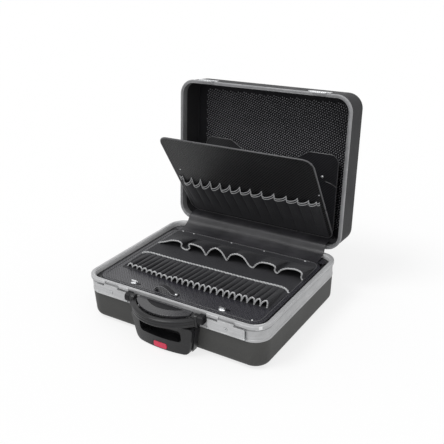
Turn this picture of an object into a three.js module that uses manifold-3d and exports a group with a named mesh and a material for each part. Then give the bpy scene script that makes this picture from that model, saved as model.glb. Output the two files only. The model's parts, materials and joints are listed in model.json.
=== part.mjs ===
// A rolling tool case lying on its base shell with the lid open.
// Millimetres. X runs to the right, Y to the hinge side, Z up from the floor under the feet.
// Every piece is drawn where it sits in the closed case. The lid, its board and the other
// turned pieces are then swung to the rest pose by the groups that carry them.

import * as THREE from "three";
import { mergeVertices } from "three/addons/utils/BufferGeometryUtils.js";
import Module from "manifold-3d";

// Whole case
const caseWidth = 490;
const caseDepth = 387;
const cornerRadius = 41;
const baseDepth = 109;
const lidDepth = 90;
const footHeight = 3;
const openAngle = 95.5;
const gap = 0.3;
const rimGap = 0.4;

// Moulded shells
const shellWall = 3;
const shellInset = 0.9;
const shellDraft = 2;
const shellEdgeRadius = 17;

// Aluminium frames: insets run inwards from the outer face, heights away from the rim
const rimWidth = 8.4;
const webThickness = 3;
const outerLeg = 3.9;
const innerLeg = 1.6;
const rimChamfer = 1.2;
const baseBandHeight = 40.4;
const baseFlangeDepth = 12.5;
const bandInset = 0.8;
const grooveTop = 8.5;
const grooveHeight = 4.5;
const grooveDepth = 2.6;
const tierProud = 2.4;
const notchMargin = 1;
const beadHeight = 5.4;
const ridgeOuter = 4.5;
const ridgeInner = 6.5;
const ridgeHeight = 1;
const ridgeClearance = 0.5;
const lidBandHeight = 6;
const lidFlangeDepth = 20;

// Feet under the base and bumpers behind the lid, which stand the closed case level on its wheels
const footRadius = 11;
const footFromSide = 67;
const footFromFront = 45.5;
const footFromBack = 65.5;
const bumperRadius = 13;
const bumperFromSide = 67;
const bumperFromTop = 30;

// Wheels in the two rear lower corners
const wheelRadius = 25;
const wheelWidth = 20;
const wheelFromSide = 49;
const wheelBehindBack = 10;
const wheelAboveFloor = 1;
const wheelClearance = 2.5;
const tyreThickness = 6;
const axleRadius = 3;
const axleHeadRadius = 5.5;
const axleHeadLength = 2;
const housingWall = 2.5;
const housingProud = 1;
const housingCorner = 13;
const hubWebThickness = 7;
const hubBossRadius = 7;
const hubHoleRadius = 2.6;
const hubHoles = 5;

// Rear hinges between the two frames
const hingeBehindBack = 6.3;
const hingeFromSide = 95;
const hingeLength = 60;
const knuckleRadius = 4;
const leafThickness = 2;
const webOffset = 1;
const baseLeafHeight = 30;
const lidLeafHeight = 15;
const hingePinRadius = 2;
const hingePinHeadRadius = 3.4;
const hingePinHeadLength = 1.6;

// Latches on the front of the base frame and their strikers on the lid frame
const latchFromSide = 40;
const latchBesideBlock = 5;
const latchTop = 10;
const latchPivotBelow = 33;
const latchStandOff = 4.6;
const latchPlateThickness = 2;
const latchBackPlate = 1.2;
const latchPinRadius = 1.5;
const latchKnuckleRadius = 3;
const latchEarWidth = 3;
const latchEarCorner = 2.9;
const clawWidth = 40;
const clawTop = 5.5;
const clawLip = 2;
const strikerWidth = 60;
const strikerHeight = 12;
const strikerThickness = 2;
const tongueWidth = 38;
const tongueReach = 10.8;
const tongueThickness = 1.4;
const beadReach = 1.8;
const lockRadius = 4.2;
const lockBelowRim = 21.5;
const keySlotWidth = 1.2;
const keySlotLength = 5;
const keySlotDepth = 1.5;
const camLength = 7;
const camWidth = 3;
const camThickness = 1;

// Carry handle and the half-moon console inside it
const handleArcFromFront = 50;
const consoleRadius = 98;
const consoleTop = 7;
const consoleThickness = 5;
const consoleHalfWidth = 73;
const consoleCoreRadius = 72;
const consoleCoreDepth = 22;
const inlayHalfWidth = 62;
const inlayFront = 23;
const inlayBack = 4;
const inlayDepth = 1.4;
const bowClearance = 2;
const bowThickness = 12;
const bowTop = 11.5;
const bowHeight = 19.5;
const bowDroop = 0.5;
const bowRidge = 1.3;
const handlePivotAhead = 10.5;
const handlePivotBelow = 12;
const handleHubRadius = 8;
const handleArmBottom = 34;
const handlePinRadius = 3;
const blockInner = 93;
const blockOuter = 107;
const blockTop = 4.5;
const blockBottom = 23;
const blockEndWall = 4;
const blockProud = 19;

// Telescopic grip, its housing and its tubes
const gripTopHalf = 86;
const gripBottomHalf = 72;
const gripTopBelow = 37;
const gripBottomBelow = 108.5;
const gripTopFront = 38;
const gripBottomFront = 32;
const gripBulge = 14;
const gripCorner = 15;
const gripTopCorner = 8;
const fingerHalfWidth = 57;
const fingerTopBelow = 46;
const fingerBottomBelow = 77;
const fingerCorner = 9;
const housingPlate = 3.4;
const housingRim = 11;
const housingRimThickness = 2.6;
const housingTopBelow = 41;
const housingBottomBelow = 104;
const buttonHalfWidth = 18;
const buttonHeight = 14;
const buttonBelow = 98;
const buttonProud = 1.5;
const buttonLength = 10;
const buttonTravel = 3;
const tubeX = 60;
const tubeWidth = 22;
const tubeHeight = 15;
const tubeWall = 1.2;
const tubeFromFront = 21.5;
const tubeFromBack = 43.5;

// Inside of the base
const floorThickness = 2.5;
const ledgeWidth = 24;
const ledgeThickness = 3;
const ledgeLeg = 9;
const boardBelow = 8;
const boardThickness = 3;
const boardFromSide = 19;
const boardFromFront = 21.5;
const boardFromBack = 43.5;
const boardCorner = 30;

// Fasteners, strap and tool pockets on the base board
const knobFromSide = 122;
const knobFromFront = 37.5;
const knobRadius = 8;
const knobFlange = 1.8;
const knobWingHeight = 4.5;
const knobWingWidth = 4.4;
const knobStemRadius = 3;
const catchLength = 19;
const catchWidth = 6;
const catchThickness = 2.4;
const strapX = -29;
const strapFromFront = 39.5;
const strapLength = 64;
const strapWidth = 13;
const strapThickness = 1.6;
const strapRise = 7;
const loopCount = 25;
const loopFromSide = 46;
const loopFromFront = 105.5;
const loopLength = 90;
const loopRise = 15;
const pocketFromLeft = 41;
const pocketFromRight = 34;
const pocketSeamShares = [0, 84 / 415, 150 / 415, 210 / 415, 287 / 415, 352 / 415, 1];
const pocketFromBack = 76.5;
const pocketLength = 69;
const pocketRise = 22;
const pipingWidth = 3;
const pipingRise = 1.4;
const seamRise = 1.6;

// Inside of the lid
const linerThickness = 9;
const pouchWall = 2;
const pouchDepth = 16;
const pouchFromSide = 46;
const pouchFromBack = 27.5;
const pouchDipFromBack = 203.5;
const earPeakFromBack = 228.5;
const earPeakFromEdge = 81;
const earFootFromEdge = 123;
const earInnerCorner = 24;
const earOuterCorner = 22;
const earFootCorner = 14;
const pouchMouthFromBack = 193.5;
const lidBoardFromSide = 29;
const lidBoardHeight = 289;
const lidBoardThickness = 3;
const lidBoardCorner = 25;
const lidBoardHingeFromBack = 21.2;
const lidBoardAboveRim = 28.5;
const lidBoardTilt = 35.5;
const lidLoopCount = 15;
const lidLoopFromEdge = 11;
const lidLoopTopV = 131;
const lidLoopBottomV = 8;
const lidLoopRise = 8;
const bracketFromEdge = 16;
const bracketLeg = 14;
const bracketThickness = 1.8;

// Flexible cover over the hinge gap
const coverFromSide = 37;
const coverThickness = 1.4;

// Its route: [behind the rear rim's inner edge, above the rim], then [behind the hinge line, above the rim]
const coverOverRim = [[-18, -7], [-6, -3], [1, 1], [6.9, 9]];
const coverToLidBoard = [[-2.5, 17.5], [6, 20.5], [17, 21.5], [28, 22]];

// Round faces
const cornerSteps = 6;
const filletSteps = 3;
const roundSides = 16;
const knuckleSides = 12;
const wheelSides = 20;

// Planes that many pieces share
const rim = footHeight + baseDepth;
const lidRim = rim + rimGap;
const frontY = -caseDepth / 2;
const backY = caseDepth / 2;
const hingeY = backY + hingeBehindBack;
const hingeZ = rim + rimGap / 2;
const boardTop = rim - boardBelow;
const boardUnder = boardTop - boardThickness;

// Places measured from the sides, the front and the back of the case
const halfWidth = caseWidth / 2;
const footX = halfWidth - footFromSide;
const frontFootY = frontY + footFromFront;
const backFootY = backY - footFromBack;
const bumperX = halfWidth - bumperFromSide;
const wheelX = halfWidth - wheelFromSide;
const hingeX = halfWidth - hingeFromSide;
const latchInner = blockOuter + latchBesideBlock;
const latchOuter = halfWidth - latchFromSide;
const latchWidth = latchOuter - latchInner;
const latchX = (latchInner + latchOuter) / 2;
const handleArcY = frontY + handleArcFromFront;
const handlePivotY = frontY - handlePivotAhead;
const tubeFrontY = frontY + tubeFromFront;
const tubeBackY = backY - tubeFromBack;
const boardHalfWidth = halfWidth - boardFromSide;
const boardFrontY = frontY + boardFromFront;
const boardBackY = backY - boardFromBack;
const knobX = halfWidth - knobFromSide;
const knobY = frontY + knobFromFront;
const strapY = frontY + strapFromFront;
const loopHalfWidth = halfWidth - loopFromSide;
const loopFrontY = frontY + loopFromFront;
const loopBackY = loopFrontY + loopLength;
const pocketRowWidth = caseWidth - pocketFromLeft - pocketFromRight;
const pocketSeams = pocketSeamShares.map((share) => pocketFromLeft - halfWidth + share * pocketRowWidth);
const pocketBackY = backY - pocketFromBack;
const pocketFrontY = pocketBackY - pocketLength;
const pouchHalfWidth = halfWidth - pouchFromSide;
const pouchBackY = backY - pouchFromBack;
const pouchDipY = backY - pouchDipFromBack;
const pouchMouthY = backY - pouchMouthFromBack;
const earPeakY = backY - earPeakFromBack;
const lidBoardWidth = caseWidth - 2 * lidBoardFromSide;
const lidBoardHingeY = backY - lidBoardHingeFromBack;
const lidLoopHalfWidth = lidBoardWidth / 2 - lidLoopFromEdge;
const bracketHalfWidth = lidBoardWidth / 2 - bracketFromEdge;
const coverHalfWidth = halfWidth - coverFromSide;

const wasm = await Module();
wasm.setup();

// Closed meshes in and out of the boolean library

function toSolid(geometry) {
  const bare = geometry.clone();
  bare.deleteAttribute("normal");
  bare.deleteAttribute("uv");
  const merged = mergeVertices(bare, 1e-4);
  const corners = merged.index.array;
  const kept = [];
  for (let i = 0; i < corners.length; i += 3) {
    const [a, b, c] = [corners[i], corners[i + 1], corners[i + 2]];
    if (a !== b && b !== c && c !== a) kept.push(a, b, c);
  }
  return new wasm.Manifold(new wasm.Mesh({
    numProp: 3,
    vertProperties: new Float32Array(merged.attributes.position.array),
    triVerts: new Uint32Array(kept),
  }));
}

function toGeometry(solid) {
  const mesh = solid.getMesh();
  const geometry = new THREE.BufferGeometry();
  geometry.setAttribute("position", new THREE.BufferAttribute(new Float32Array(mesh.vertProperties), 3));
  geometry.setIndex(new THREE.BufferAttribute(new Uint32Array(mesh.triVerts), 1));
  return geometry;
}

function join(...pieces) {
  return toGeometry(pieces.map(toSolid).reduce((all, piece) => all.add(piece)));
}

function cut(piece, ...tools) {
  return toGeometry(tools.map(toSolid).reduce((left, tool) => left.subtract(tool), toSolid(piece)));
}

function common(first, second) {
  return toGeometry(toSolid(first).intersect(toSolid(second)));
}

// Outlines

function rounded(corners, steps = filletSteps) {
  const points = [];
  corners.forEach(([x, y, radius = 0], i) => {
    const corner = new THREE.Vector2(x, y);
    if (radius === 0) {
      points.push(corner);
      return;
    }
    const before = corners[(i + corners.length - 1) % corners.length];
    const after = corners[(i + 1) % corners.length];
    const a = new THREE.Vector2(before[0] - x, before[1] - y).normalize();
    const b = new THREE.Vector2(after[0] - x, after[1] - y).normalize();
    const half = Math.acos(a.dot(b)) / 2;
    const centre = a.clone().add(b).setLength(radius / Math.sin(half)).add(corner);
    const reach = radius / Math.tan(half);
    const start = a.multiplyScalar(reach).add(corner).sub(centre).angle();
    const end = b.multiplyScalar(reach).add(corner).sub(centre).angle();
    let turn = end - start;
    if (turn > Math.PI) turn -= 2 * Math.PI;
    if (turn < -Math.PI) turn += 2 * Math.PI;
    for (let k = 0; k <= steps; k++) {
      const angle = start + (turn * k) / steps;
      points.push(new THREE.Vector2(Math.cos(angle), Math.sin(angle)).multiplyScalar(radius).add(centre));
    }
  });
  return points;
}

function rectangle(x0, x1, y0, y1, radius = 0, steps = filletSteps) {
  return rounded([[x0, y0, radius], [x1, y0, radius], [x1, y1, radius], [x0, y1, radius]], steps);
}

function arc(cx, cy, radius, fromDegrees, toDegrees, steps) {
  return Array.from({ length: steps + 1 }, (_, k) => {
    const angle = THREE.MathUtils.degToRad(fromDegrees + ((toDegrees - fromDegrees) * k) / steps);
    return new THREE.Vector2(cx + radius * Math.cos(angle), cy + radius * Math.sin(angle));
  });
}

function circle(cx, cy, radius, sides = roundSides) {
  return arc(cx, cy, radius, 0, 360 * (1 - 1 / sides), sides - 1);
}

// Prisms: an outline pushed along one axis

function prism(points, length, holes, basis) {
  const shape = new THREE.Shape(points);
  shape.holes = holes.map((hole) => new THREE.Path(hole));
  const solid = new THREE.ExtrudeGeometry(shape, { depth: length, bevelEnabled: false });
  return solid.applyMatrix4(basis);
}

const axisX = new THREE.Vector3(1, 0, 0);
const axisY = new THREE.Vector3(0, 1, 0);
const axisZ = new THREE.Vector3(0, 0, 1);

function prismX(points, x0, x1, holes = []) {
  const basis = new THREE.Matrix4().makeBasis(axisY, axisZ, axisX).setPosition(x0, 0, 0);
  return prism(points, x1 - x0, holes, basis);
}

function prismY(points, y0, y1, holes = []) {
  const basis = new THREE.Matrix4().makeBasis(axisX, axisZ, axisY.clone().negate()).setPosition(0, y1, 0);
  return prism(points, y1 - y0, holes, basis);
}

function prismZ(points, z0, z1, holes = []) {
  return prism(points, z1 - z0, holes, new THREE.Matrix4().makeTranslation(0, 0, z0));
}

function block(x0, x1, y0, y1, z0, z1) {
  return prismZ(rectangle(x0, x1, y0, y1), z0, z1);
}

// A solid through rings of equally many points, closed on itself or capped at both ends

function capTriangles(ring, sameOrder) {
  const normal = new THREE.Vector3();
  ring.forEach((p, i) => normal.add(p.clone().cross(ring[(i + 1) % ring.length])));
  const size = [Math.abs(normal.x), Math.abs(normal.y), Math.abs(normal.z)];
  const drop = size.indexOf(Math.max(...size));
  const flat = ring.map((p) => {
    if (drop === 0) return new THREE.Vector2(p.y, p.z);
    return drop === 1 ? new THREE.Vector2(p.z, p.x) : new THREE.Vector2(p.x, p.y);
  });
  const ringTurn = Math.sign(THREE.ShapeUtils.area(flat));
  return THREE.ShapeUtils.triangulateShape(flat, []).map((face) => {
    const turn = Math.sign(THREE.ShapeUtils.area(face.map((i) => flat[i])));
    return (turn === ringTurn) === sameOrder ? face : [face[0], face[2], face[1]];
  });
}

function loft(rings, closed = false) {
  const count = rings[0].length;
  const index = [];
  const spans = closed ? rings.length : rings.length - 1;
  for (let i = 0; i < spans; i++) {
    const a = i * count;
    const b = ((i + 1) % rings.length) * count;
    for (let j = 0; j < count; j++) {
      const k = (j + 1) % count;
      index.push(a + j, a + k, b + k, a + j, b + k, b + j);
    }
  }
  if (!closed) {
    const last = (rings.length - 1) * count;
    capTriangles(rings[0], false).forEach((face) => index.push(...face));
    capTriangles(rings.at(-1), true).forEach((face) => index.push(...face.map((i) => i + last)));
  }
  const points = rings.flat();
  let volume = 0;
  for (let i = 0; i < index.length; i += 3) {
    volume += points[index[i]].dot(points[index[i + 1]].clone().cross(points[index[i + 2]]));
  }
  if (volume < 0) index.reverse();
  const geometry = new THREE.BufferGeometry().setFromPoints(points);
  geometry.setIndex(index);
  return geometry;
}

// A ring of the case's own plan: its outer rectangle drawn in by an inset, at one height

function caseRing(inset, z) {
  const x = caseWidth / 2 - inset;
  const y = caseDepth / 2 - inset;
  const radius = Math.max(cornerRadius - inset, 1);
  return rectangle(-x, x, -y, y, radius, cornerSteps).map((p) => new THREE.Vector3(p.x, p.y, z));
}

function caseSweep(profile, closed = true) {
  return loft(profile.map(([inset, z]) => caseRing(inset, z)), closed);
}

// Turned pieces: a half profile of [radius, along] pairs about an axis parallel to X, Y or Z

function turned(profile, sides, basis) {
  const points = profile.map(([radius, along]) => new THREE.Vector2(radius, along));
  return new THREE.LatheGeometry(points, sides).applyMatrix4(basis);
}

function turnedX(profile, x, y, z, sides = roundSides) {
  return turned(profile, sides, new THREE.Matrix4().makeBasis(axisY, axisX, axisZ.clone().negate())
    .setPosition(x, y, z));
}

function turnedY(profile, x, y, z, sides = roundSides) {
  return turned(profile, sides, new THREE.Matrix4().makeBasis(axisX, axisY, axisZ).setPosition(x, y, z));
}

function turnedZ(profile, x, y, z, sides = roundSides) {
  return turned(profile, sides, new THREE.Matrix4().makeBasis(axisX, axisZ, axisY.clone().negate())
    .setPosition(x, y, z));
}

function barX(radius, x0, x1, y, z, sides = roundSides) {
  return prismX(circle(y, z, radius, sides), x0, x1);
}

function barY(radius, y0, y1, x, z, sides = roundSides) {
  return prismY(circle(x, z, radius, sides), y0, y1);
}

function barZ(radius, z0, z1, x, y, sides = roundSides) {
  return prismZ(circle(x, y, radius, sides), z0, z1);
}

// Finishes

function finish(color, roughness, metalness = 0) {
  return new THREE.MeshStandardMaterial({ color, roughness, metalness });
}

const shellPlastic = finish(0x4b4b4a, 0.55);
const aluminium = finish(0xc6c7c9, 0.3, 1);
const blackPlastic = finish(0x2b2b2d, 0.5);
const greyPlastic = finish(0x58585b, 0.55);
const steel = finish(0xb9bbbe, 0.25, 1);
const rubber = finish(0x1d1d1e, 0.85);
const redPlastic = finish(0xd8344f, 0.4);
const boardLining = finish(0x333337, 0.5);
const fabric = finish(0x26262a, 0.9);
const foam = finish(0x242428, 0.95);

const model = new THREE.Group();

// Groups that turn what they carry about a line parallel to X

function turnGroup(parent, y, z, degrees) {
  const turning = new THREE.Group();
  turning.position.set(0, y, z);
  turning.rotation.x = THREE.MathUtils.degToRad(degrees);
  const carried = new THREE.Group();
  carried.position.set(0, -y, -z);
  turning.add(carried);
  parent.add(turning);
  return carried;
}

const lidBoardHingeZ = lidRim + lidBoardAboveRim;
const lid = turnGroup(model, hingeY, hingeZ, -openAngle);
const lidBoard = turnGroup(lid, lidBoardHingeY, lidBoardHingeZ, lidBoardTilt);

function part(name, geometry, material, group = model) {
  const mesh = new THREE.Mesh(geometry, material);
  mesh.name = name;
  group.add(mesh);
}

const sides = [["left", -1], ["right", 1]];

// Frames and shells

// Both frames hold their shell's edge in a slot. The base's upper tier stands proud of its band,
// and a ridge on its rim enters a groove in the lid's rim.
function baseFrame() {
  const groove = grooveTop + grooveHeight;
  const bead = baseBandHeight - beadHeight;
  const profile = [
    [rimChamfer - tierProud, 0], [-tierProud, rimChamfer], [-tierProud, grooveTop - 1],
    [grooveDepth, grooveTop + 1], [grooveDepth, groove - 1], [bandInset, groove], [bandInset, bead - 2],
    [bandInset * 2, bead - 1], [0, bead], [0, baseBandHeight - 1], [1, baseBandHeight],
    [outerLeg, baseBandHeight], [outerLeg, webThickness], [rimWidth - innerLeg, webThickness],
    [rimWidth - innerLeg, baseFlangeDepth], [rimWidth, baseFlangeDepth], [rimWidth, rimChamfer],
    [rimWidth - rimChamfer, 0], [ridgeInner, 0], [ridgeInner - 0.2, -ridgeHeight],
    [ridgeOuter + 0.2, -ridgeHeight], [ridgeOuter, 0],
  ];
  return cut(caseSweep(profile.map(([inset, below]) => [inset, rim - below])), ...tierNotches());
}

// Where the handle, the latch claws and the rear hinges sit, the upper tier is flush with the band
function tierNotches() {
  const low = rim - grooveTop - grooveHeight / 2;
  const front = [frontY - 2 * tierProud, frontY];
  const back = [backY, backY + 2 * tierProud];
  const handleHalf = blockOuter + notchMargin;
  const clawHalf = clawWidth / 2 + notchMargin;
  const hingeHalf = hingeLength / 2 + notchMargin;
  const notches = [block(-handleHalf, handleHalf, ...front, low, rim + tierProud)];
  [-1, 1].forEach((side) => {
    const [claw, hinge] = [side * latchX, side * hingeX];
    notches.push(block(claw - clawHalf, claw + clawHalf, ...front, low, rim + tierProud));
    notches.push(block(hinge - hingeHalf, hinge + hingeHalf, ...back, low, rim + tierProud));
  });
  return notches;
}

function lidFrame() {
  const grooveDeep = ridgeHeight + ridgeClearance;
  const profile = [
    [rimChamfer, 0], [0, rimChamfer], [0, lidBandHeight - 1], [1, lidBandHeight], [outerLeg, lidBandHeight],
    [outerLeg, webThickness], [rimWidth - innerLeg, webThickness], [rimWidth - innerLeg, lidFlangeDepth],
    [rimWidth, lidFlangeDepth], [rimWidth, rimChamfer], [rimWidth - rimChamfer, 0],
    [ridgeInner + ridgeClearance, 0], [ridgeInner + ridgeClearance, grooveDeep],
    [ridgeOuter - ridgeClearance, grooveDeep], [ridgeOuter - ridgeClearance, 0],
  ];
  return caseSweep(profile.map(([inset, above]) => [inset, lidRim + above]));
}

// One moulded half: a rebated edge that slips into the frame's slot, drafted walls, round lower edge.
// Depths run away from the rim, so the same profile makes the base downwards and the lid upwards.
function shellHalf(depth, bandHeight, rimHeight, direction) {
  const slotOuter = outerLeg + gap;
  const slotInner = rimWidth - innerLeg - gap;
  const slotEnd = webThickness + gap;
  const step = bandHeight + gap;
  const foot = shellInset + shellDraft;
  const innerRadius = shellEdgeRadius - shellWall;
  const fillet = (inset, at, radius) => arc(inset + radius, at - radius, radius, 180, 90, filletSteps)
    .map((p) => [p.x, p.y]);
  const outside = [[slotOuter, slotEnd], [slotOuter, step], [shellInset, step],
    ...fillet(foot, depth, shellEdgeRadius)];
  const inside = [[slotInner, slotEnd], [slotInner, step + shellWall],
    [shellInset + shellWall, step + 2 * shellWall], ...fillet(foot + shellWall, depth - shellWall, innerRadius)];
  const profile = [...inside.reverse(), ...outside];
  return caseSweep(profile.map(([inset, away]) => [inset, rimHeight + direction * away]), false);
}

const wheelY = backY + wheelBehindBack - wheelRadius;
const wheelZ = wheelAboveFloor + wheelRadius;
const shellUnder = footHeight;
const wellRadius = wheelRadius + wheelClearance;
const wellHalf = wheelWidth / 2 + wheelClearance / 2;

// Side view of a wheel housing: upright front, round shoulder, flat top, open towards the corner
function housingOutline(grow, beyond, corner) {
  const radius = wellRadius + housingWall + grow;
  const y1 = backY + beyond;
  const z0 = shellUnder - beyond;
  return [
    new THREE.Vector2(wheelY - radius, z0),
    ...arc(y1 - corner, z0 + corner, corner, -90, 0, filletSteps),
    new THREE.Vector2(y1, wheelZ + radius),
    ...arc(wheelY, wheelZ, radius, 90, 180, 2 * filletSteps),
  ];
}

function wellOutline() {
  const far = wellRadius + wheelRadius;
  return [
    new THREE.Vector2(wheelY - wellRadius, wheelZ - far),
    new THREE.Vector2(wheelY + far, wheelZ - far),
    new THREE.Vector2(wheelY + far, wheelZ + wellRadius),
    ...arc(wheelY, wheelZ, wellRadius, 90, 180, 2 * filletSteps),
  ];
}

const tubeZ = shellUnder + shellWall + gap + tubeHeight / 2;
const stageWidth = tubeWidth - 2 * (tubeWall + gap);
const stageHeight = tubeHeight - 2 * (tubeWall + gap);

function baseShell() {
  const shell = shellHalf(baseDepth, baseBandHeight, rim, -1);
  const half = wellHalf + housingWall + gap;
  const corners = sides.map(([, side]) => prismX(housingOutline(gap, shellEdgeRadius, 1),
    side * wheelX - half, side * wheelX + half));
  const tubeHoles = sides.map(([, side]) => block(
    side * tubeX - stageWidth / 2 - gap, side * tubeX + stageWidth / 2 + gap,
    frontY - shellWall, tubeFrontY, tubeZ - stageHeight / 2 - gap, tubeZ + stageHeight / 2 + gap));
  return cut(shell, ...corners, ...tubeHoles);
}

part("base_shell", baseShell(), shellPlastic);
part("base_frame", baseFrame(), aluminium);
part("lid_shell", shellHalf(lidDepth, lidBandHeight, lidRim, 1), shellPlastic, lid);
part("lid_frame", lidFrame(), aluminium, lid);

// Feet and bumpers

const footProfile = [[0, 0], [footRadius - 1.5, 0], [footRadius, 1.2], [footRadius, footHeight - gap],
  [0, footHeight - gap]];
[["front", frontFootY], ["back", backFootY]].forEach(([row, y]) => sides.forEach(([name, side]) => {
  part(`foot_${row}_${name}`, turnedZ(footProfile, side * footX, y, 0), rubber);
}));

const bumperAt = lidDepth - bumperFromTop;
const lidBandEnd = lidBandHeight + gap;
const bumperShare = (bumperAt - bumperRadius - lidBandEnd) / (lidDepth - shellEdgeRadius - lidBandEnd);
const bumperSeatY = backY - shellInset - shellDraft * bumperShare + gap;
const bumperHeight = backY + wheelBehindBack - bumperSeatY;
const bumperProfile = [[0, 0], [bumperRadius, 0], [bumperRadius, bumperHeight - 3],
  [bumperRadius - 3, bumperHeight], [0, bumperHeight]];
sides.forEach(([name, side]) => {
  const bumper = turnedY(bumperProfile, side * bumperX, bumperSeatY, lidRim + bumperAt);
  part(`lid_bumper_${name}`, bumper, rubber, lid);
});

// Wheels: housing, axle, hub and tyre

function wheelHousing(x) {
  const half = wellHalf + housingWall;
  const body = prismX(housingOutline(0, housingProud, housingCorner), x - half, x + half);
  const well = prismX(wellOutline(), x - wellHalf, x + wellHalf);
  const axleHole = barX(axleRadius + gap, x - half - 1, x + half + 1, wheelY, wheelZ);
  return cut(body, well, axleHole);
}

function axle(x, side) {
  const half = wellHalf + housingWall;
  const inner = x - side * (half + gap);
  const head = [inner, inner - side * axleHeadLength].sort((a, b) => a - b);
  const shaft = [x - side * (half + gap + axleHeadLength / 2), x + side * half].sort((a, b) => a - b);
  return join(barX(axleRadius, ...shaft, wheelY, wheelZ), barX(axleHeadRadius, ...head, wheelY, wheelZ));
}

const hubRadius = wheelRadius - tyreThickness;

function hub(x) {
  const half = wheelWidth / 2;
  const web = hubWebThickness / 2;
  const bore = axleRadius + gap;
  const rimInner = hubRadius - 3;
  const profile = [[bore, -half], [hubBossRadius, -half], [hubBossRadius, -web], [rimInner, -web],
    [rimInner, -half], [hubRadius, -half], [hubRadius, half], [rimInner, half], [rimInner, web],
    [hubBossRadius, web], [hubBossRadius, half], [bore, half], [bore, -half]];
  const wheel = turnedX(profile, x, wheelY, wheelZ, wheelSides);
  const ringRadius = (hubBossRadius + rimInner) / 2;
  const holes = Array.from({ length: hubHoles }, (_, k) => {
    const angle = (2 * Math.PI * k) / hubHoles;
    return barX(hubHoleRadius, x - half, x + half, wheelY + ringRadius * Math.cos(angle),
      wheelZ + ringRadius * Math.sin(angle), roundSides / 2);
  });
  return cut(wheel, ...holes);
}

function tyre(x) {
  const half = wheelWidth / 2;
  const inner = hubRadius + gap;
  const profile = [[inner, -half], [wheelRadius - 3, -half], [wheelRadius - 0.8, 2.2 - half],
    [wheelRadius, 5 - half], [wheelRadius, half - 5], [wheelRadius - 0.8, half - 2.2],
    [wheelRadius - 3, half], [inner, half], [inner, -half]];
  return turnedX(profile, x, wheelY, wheelZ, wheelSides);
}

sides.forEach(([name, side]) => {
  const x = side * wheelX;
  part(`wheel_housing_${name}`, wheelHousing(x), blackPlastic);
  part(`wheel_axle_${name}`, axle(x, side), steel);
  part(`wheel_hub_${name}`, hub(x), greyPlastic);
  part(`wheel_tyre_${name}`, tyre(x), rubber);
});

// Hinges: base leaf with two knuckles, lid leaf with one, headed pin

function leaf(x, side, height, knuckles, notches) {
  const y0 = backY + gap;
  const near = hingeZ + side * webOffset;
  const span = [near, hingeZ + side * height].sort((a, b) => a - b);
  const webSpan = [near, near + side * leafThickness].sort((a, b) => a - b);
  const plate = block(x - hingeLength / 2, x + hingeLength / 2, y0, y0 + leafThickness, ...span);
  const webs = knuckles.map(([a, b]) => block(a, b, y0, hingeY, ...webSpan));
  const barrels = knuckles.map(([a, b]) => barX(knuckleRadius, a, b, hingeY, hingeZ, knuckleSides));
  const cuts = notches.map(([a, b]) => barX(knuckleRadius + gap, a, b, hingeY, hingeZ, knuckleSides));
  const pinHole = barX(hingePinRadius + gap, x - hingeLength, x + hingeLength, hingeY, hingeZ, knuckleSides);
  return cut(join(plate, ...webs, ...barrels), ...cuts, pinHole);
}

sides.forEach(([name, side]) => {
  const x = side * hingeX;
  const third = hingeLength / 6;
  const outerKnuckles = [[x - 3 * third, x - third], [x + third, x + 3 * third]];
  const middleKnuckle = [[x - third + gap, x + third - gap]];
  const middleGap = [[x - third, x + third]];
  const outerGaps = [[x - 4 * third, x - third + gap], [x + third - gap, x + 4 * third]];
  const under = leaf(x, -1, baseLeafHeight, outerKnuckles, middleGap);
  const over = leaf(x, 1, lidLeafHeight, middleKnuckle, outerGaps);
  part(`hinge_leaf_base_${name}`, under, steel);
  part(`hinge_leaf_lid_${name}`, over, steel, lid);
  const half = hingeLength / 2;
  const pin = join(barX(hingePinRadius, x - half, x + half + gap + 1, hingeY, hingeZ, knuckleSides),
    barX(hingePinHeadRadius, x + half + gap, x + half + gap + hingePinHeadLength, hingeY, hingeZ));
  part(`hinge_pin_${name}`, pin, steel);
});

// Latches: a back plate with ears and a pin, a hinged flap with a claw, a lock and a striker

const bandY = frontY + bandInset;
const latchPivotY = bandY - latchStandOff;
const latchPivotZ = rim - latchPivotBelow;
const flapBackY = latchPivotY - 0.5;
const flapFrontY = flapBackY - latchPlateThickness;

function latchBack(x) {
  const half = latchWidth / 2;
  const y1 = bandY - gap;
  const y0 = y1 - latchBackPlate;
  const plate = block(x - half, x + half, y0, y1, latchPivotZ, rim - latchTop - 4);
  const earBack = frontY - gap;
  const earShape = rounded([[earBack, latchPivotZ - latchKnuckleRadius],
    [earBack, latchPivotZ + latchKnuckleRadius],
    [latchPivotY - latchKnuckleRadius, latchPivotZ + latchKnuckleRadius, latchEarCorner],
    [latchPivotY - latchKnuckleRadius, latchPivotZ - latchKnuckleRadius, latchEarCorner]]);
  const ears = [-1, 1].map((end) => {
    const span = [x + end * half, x + end * (half - latchEarWidth)].sort((a, b) => a - b);
    return prismX(earShape, ...span);
  });
  const pin = barX(latchPinRadius, x - half + 1, x + half - 1, latchPivotY, latchPivotZ, roundSides / 2);
  return join(plate, ...ears, pin);
}

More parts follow.
